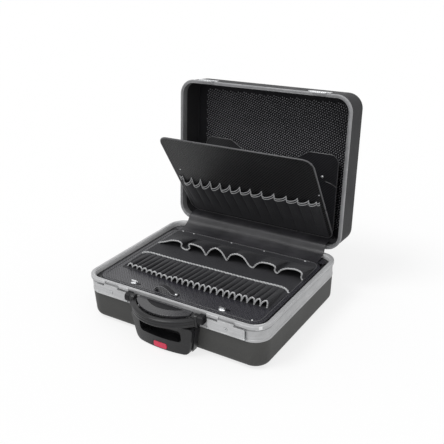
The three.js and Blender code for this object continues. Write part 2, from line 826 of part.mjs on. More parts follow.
function latchFlap(x) {
  const half = latchWidth / 2;
  const inner = half - latchEarWidth - gap;
  const top = rim - latchTop;
  const shoulder = latchPivotZ + latchKnuckleRadius + gap;
  const face = prismY(rectangle(x - half, x + half, shoulder, top, 1.5), flapFrontY, flapBackY);
  const stem = block(x - inner, x + inner, flapFrontY, flapBackY, latchPivotZ, shoulder + 1);
  const barrel = barX(latchKnuckleRadius - 0.2, x - inner, x + inner, latchPivotY, latchPivotZ);
  const claw = block(x - clawWidth / 2, x + clawWidth / 2, flapFrontY, flapBackY, top - 1, rim - clawTop);
  const lip = block(x - clawWidth / 2, x + clawWidth / 2, flapFrontY + 0.5, flapBackY + clawLip,
    rim - clawTop - clawLip, rim - clawTop);
  const pinHole = barX(latchPinRadius + gap, x - half, x + half, latchPivotY, latchPivotZ, roundSides / 2);
  const lockHole = barY(lockRadius + gap, flapFrontY - 1, flapBackY + 1, x, rim - lockBelowRim);
  return cut(join(face, stem, barrel, claw, lip), pinHole, lockHole);
}

function lockCylinder(x) {
  const z = rim - lockBelowRim;
  const plug = barY(lockRadius, flapFrontY - 0.6, flapBackY + 0.9, x, z);
  const cam = block(x - camWidth / 2, x + camWidth / 2, flapBackY + 0.4, flapBackY + 0.4 + camThickness,
    z - camLength, z);
  const slot = block(x - keySlotWidth / 2, x + keySlotWidth / 2, flapFrontY - 2,
    flapFrontY - 0.6 + keySlotDepth, z - keySlotLength / 2, z + keySlotLength / 2);
  return cut(join(plug, cam), slot);
}

function striker(x) {
  const y1 = frontY - gap;
  const half = strikerWidth / 2;
  const plate = prismY(rectangle(x - half, x + half, lidRim + 1, lidRim + 1 + strikerHeight, 2),
    y1 - strikerThickness, y1);
  const low = lidRim - tongueReach;
  const tongueFace = y1 - tongueThickness;
  const tongueShape = rounded([[y1, low], [y1, lidRim + 2], [tongueFace, lidRim + 2], [tongueFace, low + 2.3],
    [tongueFace - beadReach, low + 2.3, 0.6], [tongueFace - beadReach, low, 0.8]]);
  const tongue = prismX(tongueShape, x - tongueWidth / 2, x + tongueWidth / 2);
  return join(plate, tongue);
}

sides.forEach(([name, side]) => {
  const x = side * latchX;
  part(`latch_back_${name}`, latchBack(x), steel);
  part(`latch_flap_${name}`, latchFlap(x), aluminium);
  part(`lock_cylinder_${name}`, lockCylinder(x), steel);
  part(`striker_${name}`, striker(x), steel, lid);
});

// Carry handle: half-moon console, bare inlay in its recess, side blocks and a pivoting bow

function halfMoon(radius, backEdge, halfWidth, steps) {
  const reach = Math.sqrt(radius ** 2 - (handleArcY - backEdge) ** 2);
  const half = Math.min(reach, halfWidth);
  const swing = THREE.MathUtils.radToDeg(Math.asin(half / radius));
  const curve = arc(0, handleArcY, radius, 270 - swing, 270 + swing, steps);
  return [...curve, new THREE.Vector2(half, backEdge), new THREE.Vector2(-half, backEdge)];
}

const consoleBack = frontY - gap;
const inlayRadius = consoleRadius - inlayFront;
const inlayShape = halfMoon(inlayRadius, consoleBack - inlayBack, inlayHalfWidth, 12);

function consoleSolid() {
  const top = rim - consoleTop;
  const slab = prismZ(halfMoon(consoleRadius, consoleBack, consoleHalfWidth, 16), top - consoleThickness, top);
  const core = prismZ(halfMoon(consoleCoreRadius, consoleBack, consoleHalfWidth, 12),
    top - consoleThickness - consoleCoreDepth, top - consoleThickness);
  const recess = prismZ(inlayShape, top - inlayDepth, top + 1);
  return cut(join(slab, core), recess);
}

function inlaySolid() {
  const shrunk = halfMoon(inlayRadius - gap, consoleBack - inlayBack - gap, inlayHalfWidth - gap, 12);
  const bottom = rim - consoleTop - inlayDepth + gap;
  return prismZ(shrunk, bottom, rim - consoleTop - gap);
}

const handlePivotZ = rim - handlePivotBelow;

function sideBlock(side) {
  const y0 = frontY - blockProud;
  const y1 = frontY - gap;
  const shape = rounded([[y1, rim - blockBottom], [y1, rim - blockTop], [y0, rim - blockTop, 7],
    [y0, rim - blockBottom, 5]]);
  const span = [side * (blockInner + gap), side * blockOuter].sort((a, b) => a - b);
  const hole = [side * blockInner, side * (blockOuter - blockEndWall)].sort((a, b) => a - b);
  return cut(prismX(shape, ...span), barX(handlePinRadius + gap, ...hole, handlePivotY, handlePivotZ));
}

// Cross-section of the bow at one place round its arc: flat inside, two raised ridges outside
function bowSection(angle) {
  const inner = consoleRadius + bowClearance;
  const outer = inner + bowThickness;
  const sag = bowDroop * Math.cos(angle) ** 4;
  const top = rim - bowTop - sag;
  const low = top - bowHeight;
  const third = bowHeight / 3;
  const shape = [[inner, top - 1], [inner + 1, top], [outer - 2, top], [outer - bowRidge / 2, top - 1],
    [outer, top - 2.4], [outer - bowRidge, top - third], [outer - 0.3, top - third - 2],
    [outer - bowRidge, low + third], [outer, low + 3], [outer - 0.6, low + 1], [outer - 2.4, low],
    [inner + 1, low], [inner, low + 1]];
  return shape.map(([radius, z]) => new THREE.Vector3(radius * Math.sin(angle),
    handleArcY - radius * Math.cos(angle), z));
}

function carryHandle() {
  const inner = consoleRadius + bowClearance;
  const reach = Math.acos((handleArcY - handlePivotY) / inner);
  const steps = 16;
  const rings = Array.from({ length: steps + 1 }, (_, k) => bowSection(reach * ((2 * k) / steps - 1)));
  const pieces = [loft(rings)];
  const armFace = inner * Math.sin(reach);
  [-1, 1].forEach((side) => {
    const arm = rounded([
      [handlePivotY - handleHubRadius, rim - handleArmBottom, 5],
      [handlePivotY + handleHubRadius, rim - handleArmBottom, 5],
      [handlePivotY + handleHubRadius, handlePivotZ + handleHubRadius, handleHubRadius - 1],
      [handlePivotY - handleHubRadius, handlePivotZ + handleHubRadius, handleHubRadius - 1]]);
    const span = [side * (armFace + 0.6), side * blockInner].sort((a, b) => a - b);
    const pin = [side * (blockInner - 1), side * (blockOuter - blockEndWall - 1)].sort((a, b) => a - b);
    pieces.push(prismX(arm, ...span), barX(handlePinRadius, ...pin, handlePivotY, handlePivotZ));
  });
  return join(...pieces);
}

part("handle_console", consoleSolid(), greyPlastic);
part("console_inlay", inlaySolid(), blackPlastic);
sides.forEach(([name, side]) => part(`handle_block_${name}`, sideBlock(side), blackPlastic));
part("carry_handle", carryHandle(), blackPlastic);

// Telescopic grip: housing plate with cheeks, nested tubes, grip with finger opening, release button

const housingFrontY = frontY + shellInset - gap - housingPlate;
const gripBackY = housingFrontY - gap;

function gripHalf(below) {
  const share = (below - gripTopBelow) / (gripBottomBelow - gripTopBelow);
  return gripTopHalf + (gripBottomHalf - gripTopHalf) * share;
}

function trolleyHousing() {
  const top = rim - housingTopBelow;
  const bottom = rim - housingBottomBelow;
  const clear = 2 * gap + housingRimThickness;
  const topHalf = gripHalf(housingTopBelow) + clear;
  const lowHalf = gripHalf(housingBottomBelow) + clear;
  const y1 = frontY + shellInset - gap;
  const outer = rounded([[-lowHalf, bottom, 6], [lowHalf, bottom, 6], [topHalf, top, 3], [-topHalf, top, 3]]);
  const plate = prismY(outer, y1 - housingPlate, y1);
  const rimSolid = prismY(outer, y1 - housingPlate - housingRim, y1 - housingPlate);
  const t = housingRimThickness;
  const inner = [[t - lowHalf, bottom - 20], [lowHalf - t, bottom - 20], [lowHalf - t, bottom],
    [topHalf - t, top], [topHalf - t, top + 20], [t - topHalf, top + 20], [t - topHalf, top],
    [t - lowHalf, bottom]].map(([x, z]) => new THREE.Vector2(x, z));
  const cheeks = prismY(inner, y1 - housingPlate - housingRim - 1, y1 - housingPlate);
  const holes = sides.map(([, side]) => block(
    side * tubeX - stageWidth / 2 - gap, side * tubeX + stageWidth / 2 + gap,
    y1 - housingPlate - 1, y1 + 1, tubeZ - stageHeight / 2 - gap, tubeZ + stageHeight / 2 + gap));
  return cut(join(plate, rimSolid), cheeks, ...holes);
}

function gripPlan(front, half, z) {
  const apex = frontY - front;
  const radius = (half ** 2 + gripBulge ** 2) / (2 * gripBulge);
  const swing = THREE.MathUtils.radToDeg(Math.asin(half / radius));
  const curve = arc(0, apex + radius, radius, 270 - swing, 270 + swing, 12);
  return [...curve, new THREE.Vector2(half, gripBackY), new THREE.Vector2(-half, gripBackY)]
    .map((p) => new THREE.Vector3(p.x, p.y, z));
}

const buttonZ = rim - buttonBelow;

function buttonShape(grow) {
  return rectangle(-buttonHalfWidth - grow, buttonHalfWidth + grow, buttonZ - buttonHeight / 2 - grow,
    buttonZ + buttonHeight / 2 + grow, 4);
}

function gripFrontAt(below) {
  const share = (below - gripTopBelow) / (gripBottomBelow - gripTopBelow);
  return frontY - gripTopFront - (gripBottomFront - gripTopFront) * share;
}

const buttonFrontY = gripFrontAt(buttonBelow) - buttonProud;

function trolleyGrip() {
  const top = rim - gripTopBelow;
  const bottom = rim - gripBottomBelow;
  const outline = rounded([[-gripBottomHalf, bottom, gripCorner], [gripBottomHalf, bottom, gripCorner],
    [gripTopHalf, top, gripTopCorner], [-gripTopHalf, top, gripTopCorner]]);
  const fingers = rectangle(-fingerHalfWidth, fingerHalfWidth, rim - fingerBottomBelow,
    rim - fingerTopBelow, fingerCorner);
  const far = frontY - gripTopFront - 5;
  const body = prismY(outline, far, gripBackY, [fingers]);
  const wide = gripTopHalf + 5;
  const curved = loft([gripPlan(gripBottomFront, wide, bottom - 1), gripPlan(gripTopFront, wide, top + 1)]);
  const pocket = prismY(buttonShape(gap), far, buttonFrontY + buttonLength + buttonTravel + 2 * gap);
  const seats = sides.map(([, side]) => block(
    side * tubeX - stageWidth / 2 - 1, side * tubeX + stageWidth / 2 + 1,
    gripBackY - gap, gripBackY + 1, tubeZ - stageHeight / 2 - 1, tubeZ + stageHeight / 2 + 1));
  return cut(common(body, curved), pocket, ...seats);
}

function releaseButton() {
  const face = prismY(buttonShape(0), buttonFrontY, buttonFrontY + buttonLength);
  const swell = 300;
  const dome = barZ(swell, buttonZ - buttonHeight, buttonZ + buttonHeight, 0, buttonFrontY + swell, 120);
  return common(face, dome);
}

function tube(width, height, wall, x, y0, y1) {
  const outer = rectangle(x - width / 2, x + width / 2, tubeZ - height / 2, tubeZ + height / 2, 2, 2);
  const inner = rectangle(x - width / 2 + wall, x + width / 2 - wall,
    tubeZ - height / 2 + wall, tubeZ + height / 2 - wall, 1, 1);
  return prismY(outer, y0, y1, [inner]);
}

const coreWidth = stageWidth - 2 * (tubeWall + gap);
const coreHeight = stageHeight - 2 * (tubeWall + gap);
part("trolley_housing", trolleyHousing(), blackPlastic);
part("trolley_grip", trolleyGrip(), blackPlastic);
part("release_button", releaseButton(), redPlastic);
sides.forEach(([name, side]) => {
  const x = side * tubeX;
  part(`tube_guide_${name}`, tube(tubeWidth, tubeHeight, tubeWall, x, tubeFrontY, tubeBackY), steel);
  part(`tube_middle_${name}`, tube(stageWidth, stageHeight, tubeWall, x, gripBackY, tubeBackY - 3), steel);
  part(`tube_inner_${name}`, tube(coreWidth, coreHeight, tubeWall, x, gripBackY, tubeBackY - 6), steel);
});

// Inside of the base: floor panel over the tubes, ledge ring and tool board

function baseFloor() {
  const x = caseWidth / 2 - shellInset - shellDraft - shellWall - 6;
  const y = caseDepth / 2 - shellInset - shellDraft - shellWall - 6;
  const notchX = wheelX - wellHalf - housingWall - axleHeadLength - 3 * gap;
  const notchY = wheelY - wellRadius - housingWall - gap;
  const r = cornerRadius - 12;
  const outline = rounded([[-x, -y, r], [x, -y, r], [x, notchY], [notchX, notchY], [notchX, y, 3],
    [-notchX, y, 3], [-notchX, notchY], [-x, notchY]]);
  const z = tubeZ + tubeHeight / 2 + gap;
  return prismZ(outline, z, z + floorThickness);
}

function ledge() {
  const top = boardBelow + boardThickness + gap;
  const besideFlange = rimWidth + gap;
  const underFlange = baseFlangeDepth + gap;
  const wallFace = rimWidth - innerLeg + gap;
  const leg = wallFace + ledgeThickness;
  const profile = [[besideFlange, top], [ledgeWidth, top], [ledgeWidth, top + ledgeThickness],
    [leg, top + ledgeThickness], [leg, top + ledgeLeg], [wallFace, top + ledgeLeg],
    [wallFace, underFlange], [besideFlange, underFlange]];
  return caseSweep(profile.map(([inset, below]) => [inset, rim - below]));
}

function baseBoard() {
  const outline = rectangle(-boardHalfWidth, boardHalfWidth, boardFrontY, boardBackY, boardCorner, cornerSteps);
  const holes = sides.map(([, side]) => circle(side * knobX, knobY, knobStemRadius + gap, roundSides / 2));
  return prismZ(outline, boardUnder, boardTop, holes);
}

part("base_floor", baseFloor(), boardLining);
part("board_ledge", ledge(), blackPlastic);
part("base_board", baseBoard(), boardLining);

// Turn fastener: round flange, finger wing, stem through the board and a catch under it
function knob(x) {
  const z = boardTop + gap;
  const flange = barZ(knobRadius, z, z + knobFlange, x, knobY);
  const wing = prismZ(rectangle(x - knobRadius, x + knobRadius, knobY - knobWingWidth / 2,
    knobY + knobWingWidth / 2, 2), z, z + knobFlange + knobWingHeight);
  const catchTop = boardUnder - ledgeThickness - 2 * gap;
  const stem = barZ(knobStemRadius, catchTop - catchThickness, z + 1, x, knobY, roundSides / 2);
  const arm = prismZ(rectangle(x - catchLength, x + catchWidth / 2, knobY - catchWidth / 2,
    knobY + catchWidth / 2, 2.5), catchTop - catchThickness, catchTop);
  return join(flange, wing, stem, arm);
}

function pullStrap() {
  const half = strapLength / 2;
  const z = boardTop + gap;
  const steps = 10;
  const line = (rise) => Array.from({ length: steps + 1 }, (_, k) => {
    const t = k / steps;
    return new THREE.Vector2(strapX - half + t * strapLength, z + rise + strapRise * Math.sin(Math.PI * t) ** 2);
  });
  const outline = [...line(0), ...line(strapThickness).reverse()];
  return prismY(outline, strapY - strapWidth / 2, strapY + strapWidth / 2);
}

sides.forEach(([name, side]) => part(`turn_knob_${name}`, knob(side * knobX), steel));
part("pull_strap", pullStrap(), fabric);

// Pockets sewn down at their seams: one closed strip whose top arches between seams.
// The arches are full at the open edge, where the piping runs, and flatten to the other edge.
function pocketSection(seams, floor, rise, y, grow) {
  const steps = 4;
  const points = [];
  for (let i = 0; i + 1 < seams.length; i++) {
    for (let k = i === 0 ? 0 : 1; k <= steps; k++) {
      const t = k / steps;
      const arch = Math.sin(Math.PI * t) ** 0.75;
      points.push(new THREE.Vector3(seams[i] + t * (seams[i + 1] - seams[i]), y,
        floor + seamRise + grow + rise * arch));
    }
  }
  return [new THREE.Vector3(seams[0], y, floor), ...points, new THREE.Vector3(seams.at(-1), y, floor)];
}

// Stations are [position, rise, piping growth]
function pocketStrip(seams, floor, stations) {
  return loft(stations.map(([y, rise, grow]) => pocketSection(seams, floor, rise, y, grow)));
}

const loopSeams = Array.from({ length: loopCount + 1 }, (_, k) => loopHalfWidth * ((2 * k) / loopCount - 1));
const pocketFloor = boardTop + gap;
const loops = pocketStrip(loopSeams, pocketFloor, [
  [loopFrontY, loopRise, pipingRise], [loopFrontY + pipingWidth, loopRise, pipingRise],
  [loopFrontY + pipingWidth, loopRise, 0], [loopBackY - pipingWidth, 0, 0],
  [loopBackY - pipingWidth, 0, pipingRise + 1], [loopBackY, 0, pipingRise + 1],
]);
part("tool_loops", loops, fabric);

const pockets = pocketStrip(pocketSeams, pocketFloor, [
  [pocketFrontY, pocketRise, pipingRise], [pocketFrontY + pipingWidth, pocketRise, pipingRise],
  [pocketFrontY + pipingWidth, pocketRise, 0], [(pocketFrontY + pocketBackY) / 2, pocketRise * 0.7, 0],
  [pocketBackY, 0, 0],
]);
part("large_pockets", pockets, fabric);

// Inside of the lid: foam liner, document pouch with two ears, bracket, tilting board and its pockets

const lidTopInner = lidDepth - shellWall;
const linerBack = lidTopInner - 2 * gap;
const linerFront = linerBack - linerThickness;

function lidLiner() {
  const radius = shellEdgeRadius - shellWall;
  const inset = shellInset + shellDraft + shellWall + radius;
  const edge = arc(inset, lidTopInner - radius, radius - 2 * gap, 180, 90, filletSteps)
    .filter((p) => p.y > linerFront);
  const profile = [[edge[0].x, linerFront], ...edge.map((p) => [p.x, p.y])];
  return caseSweep(profile.map(([x, height]) => [x, lidRim + height]), false);
}

function documentPouch() {
  const ear = (side) => {
    const points = [[pouchHalfWidth - earFootFromEdge, pouchDipY, earFootCorner],
      [pouchHalfWidth - earPeakFromEdge, earPeakY, earInnerCorner],
      [pouchHalfWidth, earPeakY, earOuterCorner]];
    const placed = points.map(([x, y, r]) => [side * x, y, r]);
    return side > 0 ? placed : placed.reverse();
  };
  const outline = rounded([...ear(-1), ...ear(1), [pouchHalfWidth, pouchBackY, 4],
    [-pouchHalfWidth, pouchBackY, 4]]);
  const back = lidRim + linerFront - gap;
  const front = back - pouchDepth;
  const inside = block(pouchWall - pouchHalfWidth, pouchHalfWidth - pouchWall, pouchMouthY - 1,
    pouchBackY - pouchWall, front + pouchWall, back + 1);
  const aboveMouth = block(-caseWidth, caseWidth, earPeakY - 1, pouchMouthY, front + pouchWall, back + 1);
  return cut(prismZ(outline, front, back), inside, aboveMouth);
}

function boardBracket() {
  const wallY = backY - shellInset - shellWall - shellDraft / 2;
  const y1 = wallY - gap;
  const y0 = lidBoardHingeY + lidBoardThickness / 2 + gap;
  const z0 = lidBoardHingeZ - lidBoardThickness / 2;
  const t = bracketThickness;
  const shape = [[y0, z0], [y1, z0], [y1, z0 + bracketLeg], [y1 - t, z0 + bracketLeg], [y1 - t, z0 + t],
    [y0, z0 + t]].map(([y, z]) => new THREE.Vector2(y, z));
  return prismX(shape, -bracketHalfWidth, bracketHalfWidth);
}

function tiltingBoard() {
  const half = lidBoardWidth / 2;
  const far = lidBoardHingeY - lidBoardHeight;
  const outline = rounded([[-half, far, lidBoardCorner], [half, far, lidBoardCorner],
    [half, lidBoardHingeY, 4], [-half, lidBoardHingeY, 4]], cornerSteps);
  return prismZ(outline, lidBoardHingeZ - lidBoardThickness / 2, lidBoardHingeZ + lidBoardThickness / 2);
}

function lidPockets() {
  const seams = Array.from({ length: lidLoopCount + 1 },
    (_, k) => lidLoopHalfWidth * ((2 * k) / lidLoopCount - 1));
  const open = lidBoardHingeY - lidLoopTopV;
  const shut = lidBoardHingeY - lidLoopBottomV;
  const strip = pocketStrip(seams, 0, [
    [open, lidLoopRise, pipingRise], [open + pipingWidth, lidLoopRise, pipingRise],
    [open + pipingWidth, lidLoopRise, 0], [(open + shut) / 2, lidLoopRise * 0.6, 0], [shut, 0, 0],
  ]);
  const under = lidBoardHingeZ - lidBoardThickness / 2 - gap;
  const faceDown = new THREE.Matrix4().makeScale(1, 1, -1).setPosition(0, 0, under);
  return loftFlipped(strip, faceDown);
}

// A mirror turns a solid inside out, so its triangles are turned round as well
function loftFlipped(geometry, mirror) {
  const mirrored = geometry.clone().applyMatrix4(mirror);
  mirrored.setIndex(Array.from(geometry.index.array).reverse());
  return mirrored;
}

part("lid_liner", lidLiner(), foam, lid);
part("document_pouch", documentPouch(), boardLining, lid);
part("board_bracket", boardBracket(), blackPlastic, lid);
part("lid_board", tiltingBoard(), boardLining, lidBoard);
part("lid_pockets", lidPockets(), fabric, lidBoard);

// Cover: a flexible strip from the base board's back edge, over both rims, to the lid board
function hingeCover() {
  const route = new THREE.CatmullRomCurve3([
    [boardBackY + 1, boardTop - coverThickness],
    ...coverOverRim.map(([behind, above]) => [backY - rimWidth + behind, rim + above]),
    ...coverToLidBoard.map(([behind, above]) => [hingeY + behind, rim + above]),
  ].map(([y, z]) => new THREE.Vector3(0, y, z)));
  const steps = 14;
  const lower = [];
  const upper = [];
  for (let k = 0; k <= steps; k++) {
    const p = route.getPoint(k / steps);
    const along = route.getTangent(k / steps);
    lower.push(new THREE.Vector2(p.y, p.z));
    upper.push(new THREE.Vector2(p.y - along.z * coverThickness, p.z + along.y * coverThickness));
  }
  return prismX([...lower, ...upper.reverse()], -coverHalfWidth, coverHalfWidth);
}

part("hinge_cover", hingeCover(), fabric);

export default model;
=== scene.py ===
# The looks of a rolling tool case that stands open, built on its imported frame.
# Metres, +Z up from the floor under the feet. Millimetres are written times MM, and the lists of
# places that hold bare numbers are in millimetres too.
import json
import math
import random

import bmesh
import bpy
from mathutils import Matrix, Vector, noise

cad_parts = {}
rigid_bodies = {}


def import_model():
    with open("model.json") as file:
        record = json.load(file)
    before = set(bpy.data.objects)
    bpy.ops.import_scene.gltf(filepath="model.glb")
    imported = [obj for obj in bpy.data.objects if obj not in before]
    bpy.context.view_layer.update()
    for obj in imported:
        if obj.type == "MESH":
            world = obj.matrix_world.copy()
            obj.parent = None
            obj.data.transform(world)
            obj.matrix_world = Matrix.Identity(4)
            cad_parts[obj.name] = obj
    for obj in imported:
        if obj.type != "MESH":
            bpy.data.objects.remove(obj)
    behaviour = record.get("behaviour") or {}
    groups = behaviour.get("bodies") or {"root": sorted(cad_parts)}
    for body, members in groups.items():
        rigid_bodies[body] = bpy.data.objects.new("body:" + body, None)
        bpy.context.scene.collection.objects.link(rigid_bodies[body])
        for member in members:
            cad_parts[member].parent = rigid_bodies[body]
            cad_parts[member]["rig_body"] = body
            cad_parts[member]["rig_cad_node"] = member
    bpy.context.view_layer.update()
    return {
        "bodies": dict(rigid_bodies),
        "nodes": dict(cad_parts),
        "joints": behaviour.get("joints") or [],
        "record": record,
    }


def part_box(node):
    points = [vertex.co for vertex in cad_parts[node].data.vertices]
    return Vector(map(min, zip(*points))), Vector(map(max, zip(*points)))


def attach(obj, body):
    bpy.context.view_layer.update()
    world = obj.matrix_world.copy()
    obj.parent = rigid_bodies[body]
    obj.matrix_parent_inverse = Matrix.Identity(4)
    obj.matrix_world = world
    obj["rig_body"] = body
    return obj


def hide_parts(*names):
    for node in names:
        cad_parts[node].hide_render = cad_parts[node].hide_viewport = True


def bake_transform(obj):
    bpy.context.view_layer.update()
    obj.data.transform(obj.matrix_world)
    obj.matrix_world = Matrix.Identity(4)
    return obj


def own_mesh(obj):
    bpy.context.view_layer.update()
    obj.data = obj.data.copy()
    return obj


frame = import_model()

MM = 0.001
nodes = frame["nodes"]
joints = {joint["name"]: joint for joint in frame["joints"]}
rides_on = {node: body for body, members in frame["record"]["behaviour"]["bodies"].items()
            for node in members}
random.seed(7)

# Sizes of the case, from the frame
TIER_PROUD = 2.4 * MM
RIDGE_HEIGHT = 1 * MM
frame_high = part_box("base_frame")[1]
half_width = frame_high.x - TIER_PROUD
half_depth = frame_high.y - TIER_PROUD
rim = frame_high.z - RIDGE_HEIGHT
shell_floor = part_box("base_shell")[0].z
board_low, board_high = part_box("base_board")
board_top = board_high.z
hinge = Vector(joints["lid_hinge"]["pos_m"])
lid_rim = 2 * hinge.z - rim
open_angle = math.radians(joints["lid_hinge"]["range_deg"][1])
lid_board_tilt = math.radians(35.5)


def turn_about(point, angle):
    return Matrix.Translation(point) @ Matrix.Rotation(angle, 4, "X") @ Matrix.Translation(-point)


# The lid's pieces are drawn closed, with heights above its rim, and then swung open
lid_open = turn_about(hinge, -open_angle)
board_pivot = lid_open.inverted() @ Vector(joints["lid_board_hinge"]["pos_m"])
lid_board_open = lid_open @ turn_about(board_pivot, lid_board_tilt)

# Plan of the case and the moulded walls
CORNER_RADIUS = 41 * MM
SHELL_WALL = 3 * MM
SHELL_INSET = 0.9 * MM
SHELL_DRAFT = 2 * MM
SHELL_EDGE_RADIUS = 17 * MM
GAP = 0.3 * MM
BASE_BAND = 40.4 * MM
LID_BAND = 6 * MM
LID_DEPTH = 90 * MM
CORNER_STEPS = 18
EDGE_STEPS = 8


# Meshes

def add_object(name, mesh, *materials):
    made = bpy.data.objects.new(name, mesh)
    bpy.context.scene.collection.objects.link(made)
    for material in materials:
        mesh.materials.append(material)
    return made


def drop(obj):
    bpy.data.objects.remove(obj, do_unlink=True)


def smooth(obj, angle=35):
    obj.data.polygons.foreach_set("use_smooth", [True] * len(obj.data.polygons))
    obj.data.set_sharp_from_angle(angle=math.radians(angle))
    return obj


def face_outward(mesh):
    shape = bmesh.new()
    shape.from_mesh(mesh)
    bmesh.ops.remove_doubles(shape, verts=shape.verts, dist=1e-7)
    bmesh.ops.recalc_face_normals(shape, faces=shape.faces)
    shape.to_mesh(mesh)
    shape.free()


def baked(obj):
    """A plain mesh of the object as its modifiers leave it."""
    evaluated = obj.evaluated_get(bpy.context.evaluated_depsgraph_get())
    return bpy.data.meshes.new_from_object(evaluated)


def bevel(obj, width, segments=2, angle=32):
    rounding = obj.modifiers.new("bevel", "BEVEL")
    rounding.width = width
    rounding.segments = segments
    rounding.limit_method = "ANGLE"
    rounding.angle_limit = math.radians(angle)
    rounding.use_clamp_overlap = True
    rounding.harden_normals = True
    return obj


def place(obj, body, slot, *stands_for):
    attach(obj, body)
    if stands_for:
        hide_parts(*stands_for)
    return obj


def rounded(corners, steps=EDGE_STEPS):
    """An outline whose corners (x, y, radius) are rounded by arcs."""
    points = []
    for i, (x, y, radius) in enumerate(corners):
        corner = Vector((x, y))
        if radius == 0:
            points.append(corner)
            continue
        before = (Vector(corners[i - 1][:2]) - corner).normalized()
        after = (Vector(corners[(i + 1) % len(corners)][:2]) - corner).normalized()
        half = before.angle(after) / 2
        centre = corner + (before + after).normalized() * (radius / math.sin(half))
        start = corner + before * (radius / math.tan(half)) - centre
        end = corner + after * (radius / math.tan(half)) - centre
        turn = start.angle_signed(end)
        for k in range(steps + 1):
            spin = Matrix.Rotation(-turn * k / steps, 2)
            points.append(centre + spin @ start)
    return points


def rectangle(x0, x1, y0, y1, radius=0.0, steps=EDGE_STEPS):
    return rounded([(x0, y0, radius), (x1, y0, radius), (x1, y1, radius), (x0, y1, radius)], steps)


def arc(cx, cy, radius, start, end, steps):
    angles = [math.radians(start + (end - start) * k / steps) for k in range(steps + 1)]
    return [Vector((cx + radius * math.cos(a), cy + radius * math.sin(a))) for a in angles]


def lengths_along(points):
    total = [0.0]
    for a, b in zip(points, points[1:]):
        total.append(total[-1] + (b - a).length)
    return total


def loft(name, rings, *materials, closed=False, ring_material=None):
    """A skin through rings of equally many points, with its lengths in metres as UV."""
    count = len(rings[0])
    points = [p for ring in rings for p in ring]
    around = lengths_along(list(rings[len(rings) // 2]) + [rings[len(rings) // 2][0]])
    across = lengths_along([ring[0] for ring in rings] + [rings[0][0]])
    faces, uvs, slots = [], [], []
    for i in range(len(rings) if closed else len(rings) - 1):
        near, far = i * count, ((i + 1) % len(rings)) * count
        for j in range(count):
            k = (j + 1) % count
            faces.append((near + j, near + k, far + k, far + j))
            u0, u1, v0, v1 = around[j], around[j + 1], across[i], across[i + 1]
            uvs.extend([(u0, v0), (u1, v0), (u1, v1), (u0, v1)])
            slots.append(ring_material[i] if ring_material else 0)
    if not closed:
        for ring, first, edge in ((rings[0], 0, 0), (rings[-1], (len(rings) - 1) * count, -1)):
            order = range(count - 1, -1, -1) if edge == 0 else range(count)
            faces.append(tuple(first + j for j in order))
            uvs.extend([(ring[j].x, ring[j].y) for j in order])
            slots.append(ring_material[edge] if ring_material else 0)
    mesh = bpy.data.meshes.new(name)
    mesh.from_pydata(points, [], faces)
    layer = mesh.uv_layers.new(name="lengths")
    layer.data.foreach_set("uv", [value for uv in uvs for value in uv])
    mesh.polygons.foreach_set("material_index", slots)
    made = add_object(name, mesh, *materials)
    shape = bmesh.new()
    shape.from_mesh(mesh)
    if shape.calc_volume(signed=True) < 0:
        bmesh.ops.reverse_faces(shape, faces=shape.faces)
    shape.to_mesh(mesh)
    shape.free()
    return made


def prism(name, outline, start, end, basis, *materials):
    """An outline pushed along the third axis of a basis."""
    rings = [[basis @ Vector((p.x, p.y, along)) for p in outline] for along in (start, end)]
    return loft(name, rings, *materials)


ALONG_X = Matrix(((0, 0, 1), (1, 0, 0), (0, 1, 0))).to_4x4()
ALONG_Y = Matrix(((1, 0, 0), (0, 0, 1), (0, 1, 0))).to_4x4()
ALONG_Z = Matrix.Identity(4)


def cut(obj, *tools):
    """Takes the tools out of the object and drops them."""
    for tool in tools:
        taking = obj.modifiers.new("cut", "BOOLEAN")
        taking.operation = "DIFFERENCE"
        taking.object = tool
        taking.solver = "EXACT"
    mesh = baked(obj)
    obj.modifiers.clear()
    old = obj.data
    obj.data = mesh
    bpy.data.meshes.remove(old)
    for tool in tools:
        drop(tool)
    return obj


def join(name, *objects):
    """One object of several, each with its modifiers applied."""
    shape = bmesh.new()
    materials = []
    for obj in objects:
        mesh = baked(obj)
        mesh.transform(obj.matrix_world)
        first = len(materials)
        materials.extend(mesh.materials)
        before = len(shape.faces)
        shape.from_mesh(mesh)
        shape.faces.ensure_lookup_table()
        for face in shape.faces[before:]:
            face.material_index += first
        bpy.data.meshes.remove(mesh)
    whole = bpy.data.meshes.new(name)
    shape.to_mesh(whole)
    shape.free()
    for obj in objects:
        drop(obj)
    return add_object(name, whole, *materials)


def dressed(node, material, slot, width=0.5 * MM, segments=2, angle=32, flat=0.6):
    """The node's own solid with its flat faces merged and its edges rounded."""
    mesh = nodes[node].data.copy()
    mesh.materials.clear()
    shape = bmesh.new()
    shape.from_mesh(mesh)
    bmesh.ops.remove_doubles(shape, verts=shape.verts, dist=2e-6)
    bmesh.ops.dissolve_limit(shape, angle_limit=math.radians(flat), verts=shape.verts,
                             edges=shape.edges)
    shape.to_mesh(mesh)
    shape.free()
    made = add_object(node + "_dressed", mesh, material)
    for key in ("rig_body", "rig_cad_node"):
        if key in made:
            del made[key]
    smooth(made, angle)
    bevel(made, width, segments, angle)
    return place(made, rides_on[node], slot, node)


# Geometry trees for what repeats or follows a path

VALUE = "NodeSocketFloat"
VECTOR = "NodeSocketVector"


